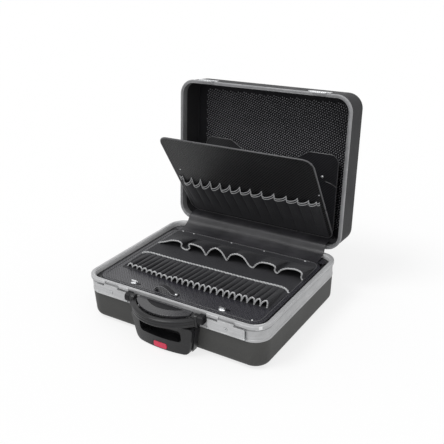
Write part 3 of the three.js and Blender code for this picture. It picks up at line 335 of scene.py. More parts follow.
class Wiring:
    """Adds nodes to one tree and links them."""

    def __init__(self, tree):
        self.tree = tree

    def node(self, kind, **settings):
        made = self.tree.nodes.new(kind)
        for key, value in settings.items():
            setattr(made, key, value)
        return made

    def feed(self, socket, value):
        if isinstance(value, bpy.types.NodeSocket):
            self.tree.links.new(value, socket)
        elif value is not None:
            socket.default_value = value

    def add(self, kind, settings=None, **sockets):
        made = self.node(kind, **(settings or {}))
        for key, value in sockets.items():
            self.feed(made.inputs[key.replace("_", " ")], value)
        return made

    def math(self, operation, a, b=None):
        made = self.node("ShaderNodeMath", operation=operation)
        self.feed(made.inputs[0], a)
        self.feed(made.inputs[1], b)
        return made.outputs[0]

    def times(self, a, b):
        return self.math("MULTIPLY", a, b)

    def plus(self, a, b):
        return self.math("ADD", a, b)

    def minus(self, a, b):
        return self.math("SUBTRACT", a, b)

    def noise(self, vector, scale, detail=2.0, roughness=0.5):
        return self.add("ShaderNodeTexNoise", Vector=vector, Scale=scale, Detail=detail,
                        Roughness=roughness).outputs[0]

    def spread(self, value, low, high, to_low=0.0, to_high=1.0):
        """The value taken from one range to another, held at its ends."""
        made = self.node("ShaderNodeMapRange")
        for socket, number in zip(made.inputs, (value, low, high, to_low, to_high)):
            self.feed(socket, number)
        return made.outputs[0]

    def scaled(self, vector, x, y, z):
        made = self.add("ShaderNodeMapping", Vector=vector)
        made.inputs["Scale"].default_value = (x, y, z)
        return made.outputs[0]


def new_tree(name, kind, inputs, outputs):
    """A node group with named inputs (label, socket type, value) and outputs (label, socket type)."""
    tree = bpy.data.node_groups.new(name, kind)
    for label, socket, value in inputs:
        made = tree.interface.new_socket(label, in_out="INPUT", socket_type=socket)
        if value is not None:
            made.default_value = value
    for label, socket in outputs:
        tree.interface.new_socket(label, in_out="OUTPUT", socket_type=socket)
    wires = Wiring(tree)
    return tree, wires, wires.node("NodeGroupInput").outputs, wires.node("NodeGroupOutput").inputs


def new_geometry_tree(name, inputs):
    plain = [("Geometry", "NodeSocketGeometry", None)]
    return new_tree(name, "GeometryNodeTree", plain + inputs + [("Finish", "NodeSocketMaterial", None)],
                    [("Geometry", "NodeSocketGeometry")])


def end_tree(wires, given, result, geometry):
    real = wires.add("GeometryNodeRealizeInstances", Geometry=geometry)
    painted = wires.add("GeometryNodeSetMaterial", Geometry=real.outputs[0], Material=given["Finish"])
    wires.feed(result["Geometry"], painted.outputs[0])


def cord_tree():
    """Twisted cord along each edge path: a four-lobed strand that turns as it goes."""
    tree, wires, given, result = new_geometry_tree("twisted cord", [
        ("Radius", VALUE, 1.3 * MM), ("Lobes", VALUE, 0.72),
        ("Turns", VALUE, 0.0), ("Step", VALUE, 1.2 * MM)])
    path = wires.add("GeometryNodeMeshToCurve", Mesh=given["Geometry"])
    even = wires.add("GeometryNodeResampleCurve", {"mode": "LENGTH"}, Curve=path.outputs[0],
                     Length=given["Step"])
    along = wires.node("GeometryNodeSplineParameter").outputs["Length"]
    turned = wires.times(wires.times(along, given["Turns"]), 2 * math.pi)
    tilted = wires.add("GeometryNodeSetCurveTilt", Curve=even.outputs[0], Tilt=turned)
    inner = wires.times(given["Radius"], given["Lobes"])
    strand = wires.add("GeometryNodeCurveStar", Points=4, Inner_Radius=inner,
                       Outer_Radius=given["Radius"])
    skin = wires.add("GeometryNodeCurveToMesh", Curve=tilted.outputs[0],
                     Profile_Curve=strand.outputs[0], Fill_Caps=True)
    end_tree(wires, given, result, skin.outputs[0])
    return tree


def stud_tree():
    """A domed rivet head on a low flange at each point."""
    tree, wires, given, result = new_geometry_tree("studs", [
        ("Radius", VALUE, 2.4 * MM), ("Height", VALUE, 1.2 * MM)])
    low = wires.times(given["Height"], 0.35)
    flange = wires.add("GeometryNodeMeshCone", Vertices=20, Radius_Top=wires.times(given["Radius"], 0.9),
                       Radius_Bottom=given["Radius"], Depth=low)
    ball = wires.add("GeometryNodeMeshUVSphere", Segments=20, Rings=10,
                     Radius=wires.times(given["Radius"], 0.78))
    squat = wires.math("DIVIDE", given["Height"], given["Radius"])
    scale = wires.add("ShaderNodeCombineXYZ", X=1.0, Y=1.0, Z=squat)
    rise = wires.add("ShaderNodeCombineXYZ", Z=wires.times(low, 0.5))
    dome = wires.add("GeometryNodeTransform", Geometry=ball.outputs[0], Scale=scale.outputs[0],
                     Translation=rise.outputs[0])
    both = wires.node("GeometryNodeJoinGeometry")
    wires.feed(both.inputs[0], flange.outputs[0])
    wires.feed(both.inputs[0], dome.outputs[0])
    heads = wires.add("GeometryNodeInstanceOnPoints", Points=given["Geometry"],
                      Instance=both.outputs[0])
    end_tree(wires, given, result, heads.outputs[0])
    return tree


def dimple_tree():
    """A low dome at each point, standing on the plane Z = 0."""
    tree, wires, given, result = new_geometry_tree("foam dots", [
        ("Radius", VALUE, 1.8 * MM), ("Height", VALUE, 1.2 * MM)])
    spots = wires.add("GeometryNodeMeshToPoints", Mesh=given["Geometry"])
    dome = wires.add("GeometryNodeMeshCone", Vertices=8, Radius_Bottom=given["Radius"],
                     Radius_Top=wires.times(given["Radius"], 0.55), Depth=given["Height"])
    placed = wires.add("GeometryNodeInstanceOnPoints", Points=spots.outputs[0],
                       Instance=dome.outputs[0])
    end_tree(wires, given, result, placed.outputs[0])
    return tree


def stitch_tree():
    """A run of short raised thread stitches along each edge path."""
    tree, wires, given, result = new_geometry_tree("stitches", [
        ("Spacing", VALUE, 3.4 * MM), ("Stitch", VALUE, 2.3 * MM),
        ("Thread", VALUE, 0.35 * MM)])
    path = wires.add("GeometryNodeMeshToCurve", Mesh=given["Geometry"])
    spots = wires.add("GeometryNodeCurveToPoints", {"mode": "LENGTH"}, Curve=path.outputs[0],
                      Length=given["Spacing"])
    ball = wires.add("GeometryNodeMeshUVSphere", Segments=6, Rings=4, Radius=given["Thread"])
    stretch = wires.math("DIVIDE", given["Stitch"], wires.times(given["Thread"], 2.0))
    scale = wires.add("ShaderNodeCombineXYZ", X=1.0, Y=1.0, Z=stretch)
    thread = wires.add("GeometryNodeTransform", Geometry=ball.outputs[0], Scale=scale.outputs[0])
    placed = wires.add("GeometryNodeInstanceOnPoints", Points=spots.outputs["Points"],
                       Instance=thread.outputs[0], Rotation=spots.outputs["Rotation"])
    end_tree(wires, given, result, placed.outputs[0])
    return tree


def grow(name, tree, finish, source, **values):
    """A plain mesh of what the tree makes on the source, which is dropped."""
    growing = source.modifiers.new("grow", "NODES")
    growing.node_group = tree
    values["Finish"] = finish
    for item in tree.interface.items_tree:
        if item.in_out == "INPUT" and item.name in values:
            growing[item.identifier] = values[item.name]
    mesh = baked(source)
    mesh.name = name
    drop(source)
    made = add_object(name, mesh)
    return smooth(made, 50)


def path_object(*paths, closed=False):
    """Paths of points as edge runs, for a tree to follow."""
    points, edges = [], []
    for path in paths:
        first = len(points)
        points.extend(path)
        edges.extend((first + i, first + i + 1) for i in range(len(path) - 1))
        if closed:
            edges.append((len(points) - 1, first))
    mesh = bpy.data.meshes.new("path")
    mesh.from_pydata(points, edges, [])
    return add_object("path", mesh)


cord = cord_tree()
studs = stud_tree()
dimples = dimple_tree()
stitches = stitch_tree()


def plain_cord(name, finish, path, radius, lobes=0.9, step=3 * MM):
    return grow(name, cord, finish, path, Radius=radius, Lobes=lobes, Turns=0.0, Step=step)


def twisted_cord(name, path, radius, lobes, turns, step):
    return grow(name, cord, trim_cord, path, Radius=radius, Lobes=lobes, Turns=turns, Step=step)


def points_at(places, height):
    """Points at one height, from places in millimetres."""
    return [Vector((x * MM, y * MM, height)) for x, y in places]


# Shader groups that several finishes use

def new_effect(name, inputs, outputs):
    return new_tree(name, "ShaderNodeTree", inputs, outputs)


def grain_effect():
    """Fine moulded texture: small round grains over a soft unevenness."""
    tree, wires, given, result = new_effect("moulded grain", [
        ("Vector", VECTOR, None), ("Grains", VALUE, 900.0)], [("Height", VALUE), ("Tone", VALUE)])
    cells = wires.add("ShaderNodeTexVoronoi", {"feature": "SMOOTH_F1"}, Vector=given["Vector"],
                      Scale=given["Grains"], Smoothness=0.6)
    soft = wires.noise(given["Vector"], wires.times(given["Grains"], 0.35), 3.0)
    height = wires.plus(wires.minus(1.0, cells.outputs["Distance"]), wires.times(soft, 0.7))
    wires.feed(result["Height"], height)
    wires.feed(result["Tone"], wires.spread(height, 0.6, 1.5))
    return tree


def smudge_effect():
    """Broad handling marks and settled dust, as a mask from 0 to 1."""
    tree, wires, given, result = new_effect("handling marks", [
        ("Vector", VECTOR, None), ("Size", VALUE, 14.0)], [("Mask", VALUE)])
    broad = wires.noise(given["Vector"], given["Size"], 5.0, 0.6)
    fine = wires.noise(given["Vector"], wires.times(given["Size"], 9.0), 3.0)
    both = wires.plus(wires.times(broad, 0.75), wires.times(fine, 0.25))
    wires.feed(result["Mask"], wires.spread(both, 0.38, 0.66))
    return tree


def scratch_effect():
    """Sparse thin scuffs, as a mask from 0 to 1."""
    tree, wires, given, result = new_effect("scuffs", [
        ("Vector", VECTOR, None), ("Scale", VALUE, 40.0)], [("Mask", VALUE)])
    warped = wires.add("ShaderNodeTexNoise", {"noise_dimensions": "3D"}, Vector=given["Vector"],
                       Scale=wires.times(given["Scale"], 0.5), Detail=1.0)
    bent = wires.add("ShaderNodeVectorMath", {"operation": "MULTIPLY_ADD"})
    wires.feed(bent.inputs[0], warped.outputs["Color"])
    bent.inputs[1].default_value = (0.02, 0.02, 0.02)
    wires.feed(bent.inputs[2], given["Vector"])
    stretched = wires.scaled(bent.outputs[0], 1.0, 9.0, 2.0)
    lines = wires.noise(stretched, given["Scale"], 2.0)
    patches = wires.noise(given["Vector"], wires.times(given["Scale"], 0.3), 1.0)
    ridge = wires.spread(wires.math("ABSOLUTE", wires.minus(lines, 0.5)), 0.012, 0.0)
    wires.feed(result["Mask"], wires.times(ridge, wires.spread(patches, 0.52, 0.68)))
    return tree


def brushed_effect():
    """Drawn metal: long fine streaks along the first axis of the vector."""
    tree, wires, given, result = new_effect("drawn streaks", [
        ("Vector", VECTOR, None), ("Across", VALUE, 2600.0)], [("Height", VALUE), ("Tone", VALUE)])
    fine = wires.noise(wires.scaled(given["Vector"], 0.012, 1.0, 1.0), given["Across"], 2.0, 0.6)
    broad = wires.noise(wires.scaled(given["Vector"], 0.03, 1.0, 1.0),
                        wires.times(given["Across"], 0.22), 2.0)
    both = wires.plus(wires.times(fine, 0.6), wires.times(broad, 0.4))
    wires.feed(result["Height"], both)
    wires.feed(result["Tone"], wires.spread(both, 0.36, 0.64))
    return tree


def weave_effect():
    """Two sets of flat threads crossing in a plane. Float is how many threads each passes over."""
    tree, wires, given, result = new_effect("woven threads", [
        ("Vector", VECTOR, None), ("Thread", VALUE, 1.6 * MM), ("Float", VALUE, 2.0)],
        [("Height", VALUE), ("Tone", VALUE), ("Warp", VALUE)])
    parts = wires.add("ShaderNodeSeparateXYZ", Vector=given["Vector"])
    cells = [wires.math("DIVIDE", parts.outputs[k], given["Thread"]) for k in (0, 1)]
    floors = [wires.math("FLOOR", cell) for cell in cells]
    shares = [wires.math("FRACT", cell) for cell in cells]
    period = wires.times(given["Float"], 2.0)
    place_in_period = wires.math("FLOORED_MODULO", wires.plus(*floors), period)
    over = wires.math("LESS_THAN", place_in_period, wires.minus(given["Float"], 0.5))
    crowns = [wires.math("SINE", wires.times(share, math.pi)) for share in shares]
    first = wires.times(over, crowns[0])
    second = wires.times(wires.minus(1.0, over), crowns[1])
    height = wires.math("POWER", wires.plus(first, second), 0.6)
    wires.feed(result["Height"], height)
    wires.feed(result["Tone"], height)
    wires.feed(result["Warp"], over)
    return tree


grain = grain_effect()
smudges = smudge_effect()
scuffs = scratch_effect()
streaks = brushed_effect()
weave = weave_effect()


# Finishes

class Finish(Wiring):
    """A material with one principled shader, and its usual parts wired by name."""

    def __init__(self, name):
        self.material = bpy.data.materials.new(name)
        self.material.use_nodes = True
        super().__init__(self.material.node_tree)
        self.shader = self.tree.nodes["Principled BSDF"]
        places = self.node("ShaderNodeTexCoord")
        self.place = places.outputs["Object"]
        self.uv = places.outputs["UV"]

    def effect(self, tree, **values):
        made = self.node("ShaderNodeGroup", node_tree=tree)
        for key, value in values.items():
            self.feed(made.inputs[key], value)
        return made.outputs

    def smudge_marks(self, size):
        return self.effect(smudges, Vector=self.place, Size=size)["Mask"]

    def scuff_marks(self, scale=40.0):
        return self.effect(scuffs, Vector=self.place, Scale=scale)["Mask"]

    def pointiness(self):
        return self.node("ShaderNodeNewGeometry").outputs["Pointiness"]

    def colour(self, mask, low, high):
        made = self.node("ShaderNodeMix", data_type="RGBA")
        self.feed(made.inputs[0], mask)
        self.feed(made.inputs[6], (*low, 1.0) if isinstance(low, tuple) else low)
        self.feed(made.inputs[7], (*high, 1.0) if isinstance(high, tuple) else high)
        return made.outputs[2]

    def bump(self, height, distance, strength=1.0):
        made = self.add("ShaderNodeBump", Height=height, Distance=distance, Strength=strength)
        self.feed(self.shader.inputs["Normal"], made.outputs[0])

    def set(self, **values):
        for key, value in values.items():
            self.feed(self.shader.inputs[key.replace("_", " ")], value)
        return self.material


def moulded(name, dark, light, rough, grains=900.0, depth=0.05 * MM, wear=0.35, gloss=0.4):
    """Moulded plastic with grain, handling marks and paler scuffs."""
    finish = Finish(name)
    texture = finish.effect(grain, Vector=finish.place, Grains=grains)
    marks = finish.smudge_marks(11.0)
    scuffed = finish.times(finish.scuff_marks(), wear)
    edges = finish.spread(finish.pointiness(), 0.53, 0.62)
    worn = finish.math("MAXIMUM", scuffed, finish.times(edges, wear))
    tone = finish.plus(finish.times(texture["Tone"], 0.45), finish.times(marks, 0.45))
    body = finish.colour(tone, dark, light)
    pale = tuple(min(1.0, value * 1.9 + 0.02) for value in light)
    finish.bump(texture["Height"], depth)
    roughness = finish.spread(marks, 0.0, 1.0, rough - 0.05, rough + 0.08)
    return finish.set(Base_Color=finish.colour(worn, body, pale), Roughness=roughness,
                      Specular_IOR_Level=gloss)


def drawn_aluminium(name, along_uv, dark, light, rough, metal):
    """Satin anodised metal. Metal is the share of mirror-like reflection in its sheen."""
    finish = Finish(name)
    vector = finish.uv if along_uv else finish.place
    lines = finish.effect(streaks, Vector=vector)
    marks = finish.smudge_marks(22.0)
    nicks = finish.scuff_marks(60.0)
    tone = finish.plus(finish.times(lines["Tone"], 0.6), finish.times(marks, 0.4))
    body = finish.colour(tone, dark, light)
    scratched = finish.colour(finish.times(nicks, 0.5), body, (0.9, 0.9, 0.9))
    finish.bump(lines["Height"], 0.02 * MM, 0.6)
    roughness = finish.spread(tone, 0.0, 1.0, rough + 0.08, rough - 0.05)
    return finish.set(Base_Color=scratched, Roughness=roughness, Metallic=metal)


def board_lining(name, tilt, dark, light, gloss):
    """Dark vinyl with a carbon-look twill, whose lines show where it mirrors light. Tilt is how far
    the board leans back from lying flat."""
    finish = Finish(name)
    flat = finish.add("ShaderNodeMapping", Vector=finish.place)
    flat.inputs["Rotation"].default_value = (tilt, 0.0, 0.0)
    threads = finish.effect(weave, Vector=flat.outputs[0], Thread=1.9 * MM, Float=2.0)
    marks = finish.smudge_marks(9.0)
    sheen = finish.times(threads["Tone"], finish.plus(0.25, finish.times(threads["Warp"], 0.75)))
    body = finish.colour(sheen, dark, light)
    dusty = finish.colour(finish.times(marks, 0.05), body, (0.10, 0.10, 0.105))
    finish.bump(threads["Height"], 0.16 * MM)
    roughness = finish.minus(finish.spread(marks, 0.0, 1.0, 0.36, 0.42),
                             finish.times(threads["Warp"], 0.16))
    return finish.set(Base_Color=dusty, Roughness=roughness, Specular_IOR_Level=gloss)


def cloth(name, dark, light, thread, rough=0.85, sheen=0.25, along_uv=True):
    """Woven nylon with slack, faded places."""
    finish = Finish(name)
    threads = finish.effect(weave, Vector=finish.uv if along_uv else finish.place, Thread=thread, Float=1.0)
    faded = finish.smudge_marks(18.0)
    tone = finish.plus(finish.times(threads["Tone"], 0.55), finish.times(faded, 0.4))
    finish.bump(threads["Height"], thread * 0.16)
    roughness = finish.spread(threads["Tone"], 0.0, 1.0, rough, rough - 0.12)
    return finish.set(Base_Color=finish.colour(tone, dark, light), Roughness=roughness,
                      Sheen_Weight=sheen, Sheen_Roughness=0.5)


def cover_vinyl():
    """Supple leathercloth of the hinge cover, with painted sheen on the crests of its creases."""
    finish = Finish("hinge_cover_vinyl")
    texture = finish.effect(grain, Vector=finish.place, Grains=620.0)
    marks = finish.smudge_marks(7.0)
    creases = finish.noise(finish.place, 26.0, 2.0, 0.5)
    # Painted sheen: the raised crests of the creases are lighter
    crease_sheen = finish.spread(creases, 0.4, 0.7, 0.0, 0.4)
    tone = finish.plus(finish.times(texture["Tone"], 0.3), finish.plus(finish.times(marks, 0.4), crease_sheen))
    finish.bump(finish.plus(texture["Height"], finish.times(creases, 9.0)), 0.08 * MM)
    return finish.set(Base_Color=finish.colour(tone, (0.012, 0.012, 0.014), (0.046, 0.045, 0.050)),
                      Roughness=finish.spread(marks, 0.0, 1.0, 0.42, 0.54))


def cord_thread():
    """Light twisted trim, with painted shade in the hollows between its strands."""
    finish = Finish("trim_cord")
    # Painted shade: darker where the strands meet
    hollow_shade = finish.spread(finish.pointiness(), 0.46, 0.66)
    fuzz = finish.noise(finish.place, 1800.0, 3.0)
    tone = finish.times(hollow_shade, finish.plus(0.7, finish.times(fuzz, 0.5)))
    finish.bump(fuzz, 0.08 * MM)
    return finish.set(Base_Color=finish.colour(tone, (0.10, 0.102, 0.108), (0.92, 0.93, 0.94)),
                      Roughness=finish.spread(fuzz, 0.3, 0.7, 0.55, 0.75), Sheen_Weight=0.2)


def foam_finish(name, low, high, rough):
    finish = Finish(name)
    pores = finish.noise(finish.place, 1400.0, 3.0, 0.7)
    finish.bump(pores, 0.12 * MM)
    return finish.set(Base_Color=finish.colour(finish.spread(pores, 0.3, 0.7), low, high),
                      Roughness=finish.spread(pores, 0.3, 0.7, rough, rough - 0.1))


def plated(name, dark, light, rough):
    """Plated steel with faint swirls and specks."""
    finish = Finish(name)
    swirl = finish.noise(finish.place, 160.0, 4.0, 0.65)
    nicks = finish.scuff_marks(90.0)
    body = finish.colour(finish.spread(swirl, 0.35, 0.65), dark, light)
    finish.bump(swirl, 0.01 * MM)
    return finish.set(Base_Color=finish.colour(nicks, body, (0.85, 0.85, 0.85)), Metallic=1.0,
                      Roughness=finish.spread(swirl, 0.3, 0.7, rough, rough + 0.1))


# Grains and depth of a finely textured moulding
FINE_GRAIN = (1400.0, 0.02 * MM)

shell_plastic = moulded("shell_plastic", (0.044, 0.044, 0.043), (0.074, 0.074, 0.071), 0.58, gloss=0.28)
# The lid's shell is the base's plastic painted darker: painted shade on the lid
lid_shell_shaded_plastic = moulded("lid_shell_shaded_plastic", (0.022, 0.022, 0.024), (0.038, 0.038, 0.040), 0.60,
                            gloss=0.12)
shell_inside = moulded("shell_inside", (0.022, 0.022, 0.024), (0.038, 0.038, 0.040), 0.5, wear=0.1)
black_plastic = moulded("black_plastic", (0.010, 0.010, 0.011), (0.022, 0.022, 0.024), 0.30,
                        *FINE_GRAIN, gloss=0.34)
block_plastic = moulded("block_plastic", (0.006, 0.006, 0.007), (0.014, 0.014, 0.016), 0.42,
                        *FINE_GRAIN, 0.15, 0.2)
grey_plastic = moulded("grey_plastic", (0.022, 0.022, 0.025), (0.040, 0.040, 0.044), 0.24,
                       *FINE_GRAIN, gloss=0.7)
inlay_plastic = moulded("inlay_plastic", (0.005, 0.005, 0.006), (0.011, 0.011, 0.014), 0.30, 2200.0,
                        0.01 * MM, 0.10, 0.12)
hub_plastic = moulded("hub_plastic", (0.10, 0.10, 0.105), (0.16, 0.16, 0.165), 0.45)
red_plastic = moulded("red_plastic", (0.62, 0.030, 0.075), (0.78, 0.050, 0.110), 0.32, 1600.0, 0.02 * MM, 0.1)
rubber = moulded("rubber", (0.012, 0.012, 0.013), (0.026, 0.026, 0.027), 0.78, 700.0, 0.06 * MM)
# A paler copy of the rim's metal: painted light on the rim's inner walls that face the board
rim_inside_painted_light_aluminium = drawn_aluminium("rim_inside_painted_light_aluminium", True, (0.68, 0.683, 0.69),
                                       (0.88, 0.883, 0.89), 0.50, 0.1)
# The lid's rim is the base rim's metal painted darker: painted shade on the lid's rim
lid_rim_shaded_aluminium = drawn_aluminium("lid_rim_shaded_aluminium", True, (0.22, 0.222, 0.23), (0.36, 0.362, 0.37),
                                    0.46, 0.4)
rim_aluminium = drawn_aluminium("rim_aluminium", True, (0.37, 0.373, 0.38), (0.54, 0.543, 0.55), 0.50, 0.35)
flap_aluminium = drawn_aluminium("flap_aluminium", False, (0.40, 0.403, 0.41), (0.58, 0.583, 0.59), 0.40, 0.6)
steel = plated("plated_steel", (0.42, 0.43, 0.44), (0.62, 0.63, 0.64), 0.22)
chrome = plated("bright_nickel", (0.74, 0.75, 0.76), (0.88, 0.89, 0.90), 0.24)
board_vinyl = board_lining("board_vinyl", 0.0, (0.003, 0.003, 0.005), (0.040, 0.039, 0.050), 0.85)
# A darker copy of the board's vinyl: painted shade on the lid board
lid_board_shaded_vinyl = board_lining("lid_board_shaded_vinyl", open_angle - lid_board_tilt, (0.002, 0.002, 0.002),
                               (0.030, 0.030, 0.032), 0.2)
pouch_vinyl = board_lining("pouch_vinyl", open_angle, (0.003, 0.003, 0.004), (0.026, 0.026, 0.030), 0.3)
loop_cloth = cloth("loop_cloth", (0.004, 0.004, 0.006), (0.018, 0.018, 0.022), 0.5 * MM, sheen=0.08)
pocket_cloth = cloth("pocket_cloth", (0.004, 0.004, 0.006), (0.016, 0.016, 0.020), 0.6 * MM, sheen=0.05)
strap_webbing = cloth("strap_webbing", (0.004, 0.004, 0.005), (0.016, 0.016, 0.019), 0.9 * MM, sheen=0.05)
hinge_vinyl = cover_vinyl()
trim_cord = cord_thread()
foam_base = foam_finish("liner_foam", (0.003, 0.003, 0.005), (0.010, 0.010, 0.013), 0.95)
# The dots' pale colour is painted highlight on the tips of the foam's domes
foam_dot_highlight = foam_finish("liner_dot", (0.13, 0.13, 0.14), (0.34, 0.34, 0.36), 0.6)
board_edge = moulded("board_edge", (0.05, 0.05, 0.053), (0.11, 0.11, 0.115), 0.3, 1500.0, 0.02 * MM)
# A pale thread colour: painted highlight along the pull strap's near edge
strap_highlight_thread = cloth("strap_highlight_thread", (0.10, 0.10, 0.11), (0.24, 0.24, 0.25), 0.5 * MM, along_uv=False)
dark_thread = cloth("dark_thread", (0.020, 0.020, 0.022), (0.060, 0.060, 0.064), 0.3 * MM, along_uv=False)


# Frames and shells: the case's plan swept along their profiles

def case_ring(inset, height):
    x, y = half_width - inset, half_depth - inset
    radius = max(CORNER_RADIUS - inset, 1 * MM)
    outline = rectangle(-x, x, -y, y, radius, CORNER_STEPS)
    ring = []
    for a, b in zip(outline, outline[1:] + outline[:1]):
        pieces = max(1, round((b - a).length / (30 * MM)))
        ring.extend(a.lerp(b, k / pieces) for k in range(pieces))
    return [Vector((p.x, p.y, height)) for p in ring]


def case_sweep(name, profile, *materials, closed=True, ring_material=None):
    """Profile points are (inset, height)."""
    rings = [case_ring(*p) for p in profile]
    counts = {len(ring) for ring in rings}
    if len(counts) > 1:
        raise ValueError(f"{name}: rings differ in count: {counts}")
    return smooth(loft(name, rings, *materials, closed=closed, ring_material=ring_material))


def rim_profile(corners, direction, height):
    outline = rounded([(inset * MM, away * MM, radius * MM) for inset, away, radius in corners], 4)
    return [(p.x, height + direction * p.y) for p in outline]


# Insets run inwards from the band's face, heights away from the rim. The base's upper tier stands
# proud of its band, and the ridge on its rim enters the groove in the lid's rim.
BASE_RIM = [(-2.4, 0, 1.4), (-2.4, 7.6, 0.8), (2.6, 9.5, 0.5), (2.6, 12, 0.5), (0.8, 13, 0.3), (0.8, 33, 0.5),
            (1.6, 34, 0.5), (0, 35, 0.6), (0, 40.4, 1.0), (3.9, 40.4, 0), (3.9, 3, 0), (6.8, 3, 0),
            (6.8, 12.5, 0), (8.4, 12.5, 0.4), (8.4, 0, 1.4), (6.5, 0, 0.2), (6.3, -1, 0.4), (4.7, -1, 0.4),
            (4.5, 0, 0.2)]
LID_RIM = [(0, 0, 1.4), (0, 6, 1.0), (3.9, 6, 0), (3.9, 3, 0), (6.8, 3, 0), (6.8, 20, 0), (8.4, 20, 0.4),
           (8.4, 0, 1.1), (7, 0, 0.3), (7, 1.5, 0), (4, 1.5, 0), (4, 0, 0.3)]
SLOT_OUTER = 3.9 * MM
SLOT_INNER = 6.8 * MM
SLOT_END = 3 * MM
TIER_BOTTOM = 10.75 * MM
FRONT_NOTCHES = [(0, 108 * MM), (-158.5 * MM, 21 * MM), (158.5 * MM, 21 * MM)]
BACK_NOTCHES = [(-150 * MM, 31 * MM), (150 * MM, 31 * MM)]


def paint_lamp_light_inside(frame):
    """Gives the walls that face the board a paler metal colour: painted light, where the lamp would light
    them.
    """
    least_inset, lowest, upright = 8 * MM, rim - 12 * MM, 0.7
    frame.data.materials.append(rim_inside_painted_light_aluminium)
    for face in frame.data.polygons:
        inset = min(half_width - abs(face.center.x), half_depth - abs(face.center.y))
        if abs(face.normal.z) < upright and inset > least_inset and face.center.z > lowest:
            face.material_index = len(frame.data.materials) - 1


def tier_notches():
    """Room in the upper tier for the handle, the latch claws and the rear hinges."""
    made = []
    for places, facing in ((FRONT_NOTCHES, -1), (BACK_NOTCHES, 1)):
        for x, half in places:
            span = sorted((facing * half_depth, facing * (half_depth + 2 * TIER_PROUD)))
            outline = rectangle(x - half, x + half, rim - TIER_BOTTOM, rim + 2 * TIER_PROUD)
            made.append(prism("tier_notch", outline, *span, ALONG_Y))
    return made


def frames():
    base = case_sweep("base_rim", rim_profile(BASE_RIM, -1, rim), rim_aluminium)
    smooth(cut(base, *tier_notches()))
    paint_lamp_light_inside(base)
    place(base, "base", "frame_aluminium", "base_frame")
    lid = case_sweep("lid_rim", rim_profile(LID_RIM, 1, lid_rim), lid_rim_shaded_aluminium)
    lid.data.transform(lid_open)
    place(lid, "lid", "frame_aluminium", "lid_frame")


def shell_half(name, depth, band, height, direction, finish):
    """A moulded half: rebated edge inside the rim, drafted walls and a round outer edge."""
    slot_outer, slot_inner, slot_end = SLOT_OUTER + GAP, SLOT_INNER - GAP, SLOT_END + GAP
    step, foot = band + GAP, SHELL_INSET + SHELL_DRAFT
    inner_radius = SHELL_EDGE_RADIUS - SHELL_WALL

    def fillet(inset, at, radius):
        return [(p.x, p.y) for p in arc(inset + radius, at - radius, radius, 180, 90, EDGE_STEPS)]

    inside = [(slot_inner, slot_end), (slot_inner, step + SHELL_WALL),
              (SHELL_INSET + SHELL_WALL, step + 2 * SHELL_WALL),
              *fillet(foot + SHELL_WALL, depth - SHELL_WALL, inner_radius)]
    outside = [(slot_outer, slot_end), (slot_outer, step), (SHELL_INSET + 0.5 * MM, step),
               (SHELL_INSET, step + 0.6 * MM), *fillet(foot, depth, SHELL_EDGE_RADIUS)]
    profile = [(inset, height + direction * away) for inset, away in inside[::-1] + outside]
    linings = [1] * len(inside) + [0] * len(outside)
    return case_sweep(name, profile, finish, shell_inside, closed=False, ring_material=linings)


WHEEL_RADIUS = 25 * MM
WHEEL_WIDTH = 20 * MM
WHEEL_CLEARANCE = 2.5 * MM
HOUSING_WALL = 2.5 * MM
wheel_centre = {side: Vector(joints[f"wheel_{side}_spin"]["pos_m"]) for side in ("left", "right")}
TUBE_X = 60 * MM
TUBE_ROOM = (-3 * MM, 21.5 * MM)
tube_low, tube_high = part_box("tube_middle_left")


def corner_cutter(centre):
    """The room of a wheel housing in the rear lower corner of the base."""
    radius = WHEEL_RADIUS + WHEEL_CLEARANCE + HOUSING_WALL + GAP
    half = WHEEL_WIDTH / 2 + WHEEL_CLEARANCE / 2 + HOUSING_WALL + GAP
    beyond = 17 * MM
    outline = [Vector((centre.y - radius, shell_floor - beyond)),
               Vector((half_depth + beyond, shell_floor - beyond)),
               Vector((half_depth + beyond, centre.z + radius)),
               *arc(centre.y, centre.z, radius, 90, 180, 24)]
    return prism("corner_room", outline, centre.x - half, centre.x + half, ALONG_X)


def tube_cutter(x):
    half_w = (tube_high.x - tube_low.x) / 2 + GAP
    middle, half_h = (tube_low.z + tube_high.z) / 2, (tube_high.z - tube_low.z) / 2 + GAP
    outline = rectangle(x - half_w, x + half_w, middle - half_h, middle + half_h)
    before, behind = (-half_depth + reach for reach in TUBE_ROOM)
    return prism("tube_room", outline, before, behind, ALONG_Y)


def shells():
    base = shell_half("base_tray", rim - shell_floor, BASE_BAND, rim, -1, shell_plastic)
    tools = [corner_cutter(centre) for centre in wheel_centre.values()]
    tools += [tube_cutter(side * TUBE_X) for side in (-1, 1)]
    smooth(cut(base, *tools), 32)
    place(base, "base", "shell_plastic", "base_shell")
    lid = shell_half("lid_tray", LID_DEPTH, LID_BAND, lid_rim, 1, lid_shell_shaded_plastic)
    lid.data.transform(lid_open)
    place(lid, "lid", "shell_plastic", "lid_shell")


# Boards and their trims

ROUND_LOBES = 0.999
ROUND_STEP = 4 * MM
BEAD_SIDE = 9 * MM
BEAD_FRONT = 7 * MM
BEAD_BACK = 5 * MM
BOARD_CORNER = 24 * MM
BOARD_CORNER_STEPS = 10


def bead_round(name, half_x, y0, y1, radius, height, thickness, material):
    """A raised bead that runs round a board just inside its edge."""
    outline = rectangle(-half_x, half_x, y0, y1, radius, BOARD_CORNER_STEPS)
    path = path_object([Vector((p.x, p.y, height)) for p in outline], closed=True)
    return plain_cord(name, material, path, thickness, ROUND_LOBES, ROUND_STEP)


def base_board():
    board = dressed("base_board", board_vinyl, "board_lining", 0.9 * MM, 3)
    trim = bead_round("base_board_bead", board_high.x - BEAD_SIDE, board_low.y + BEAD_FRONT,
                      board_high.y - BEAD_BACK, BOARD_CORNER, board_top + 0.1 * MM, 0.9 * MM, board_edge)
    place(trim, "base_board", "board_lining")
    return board


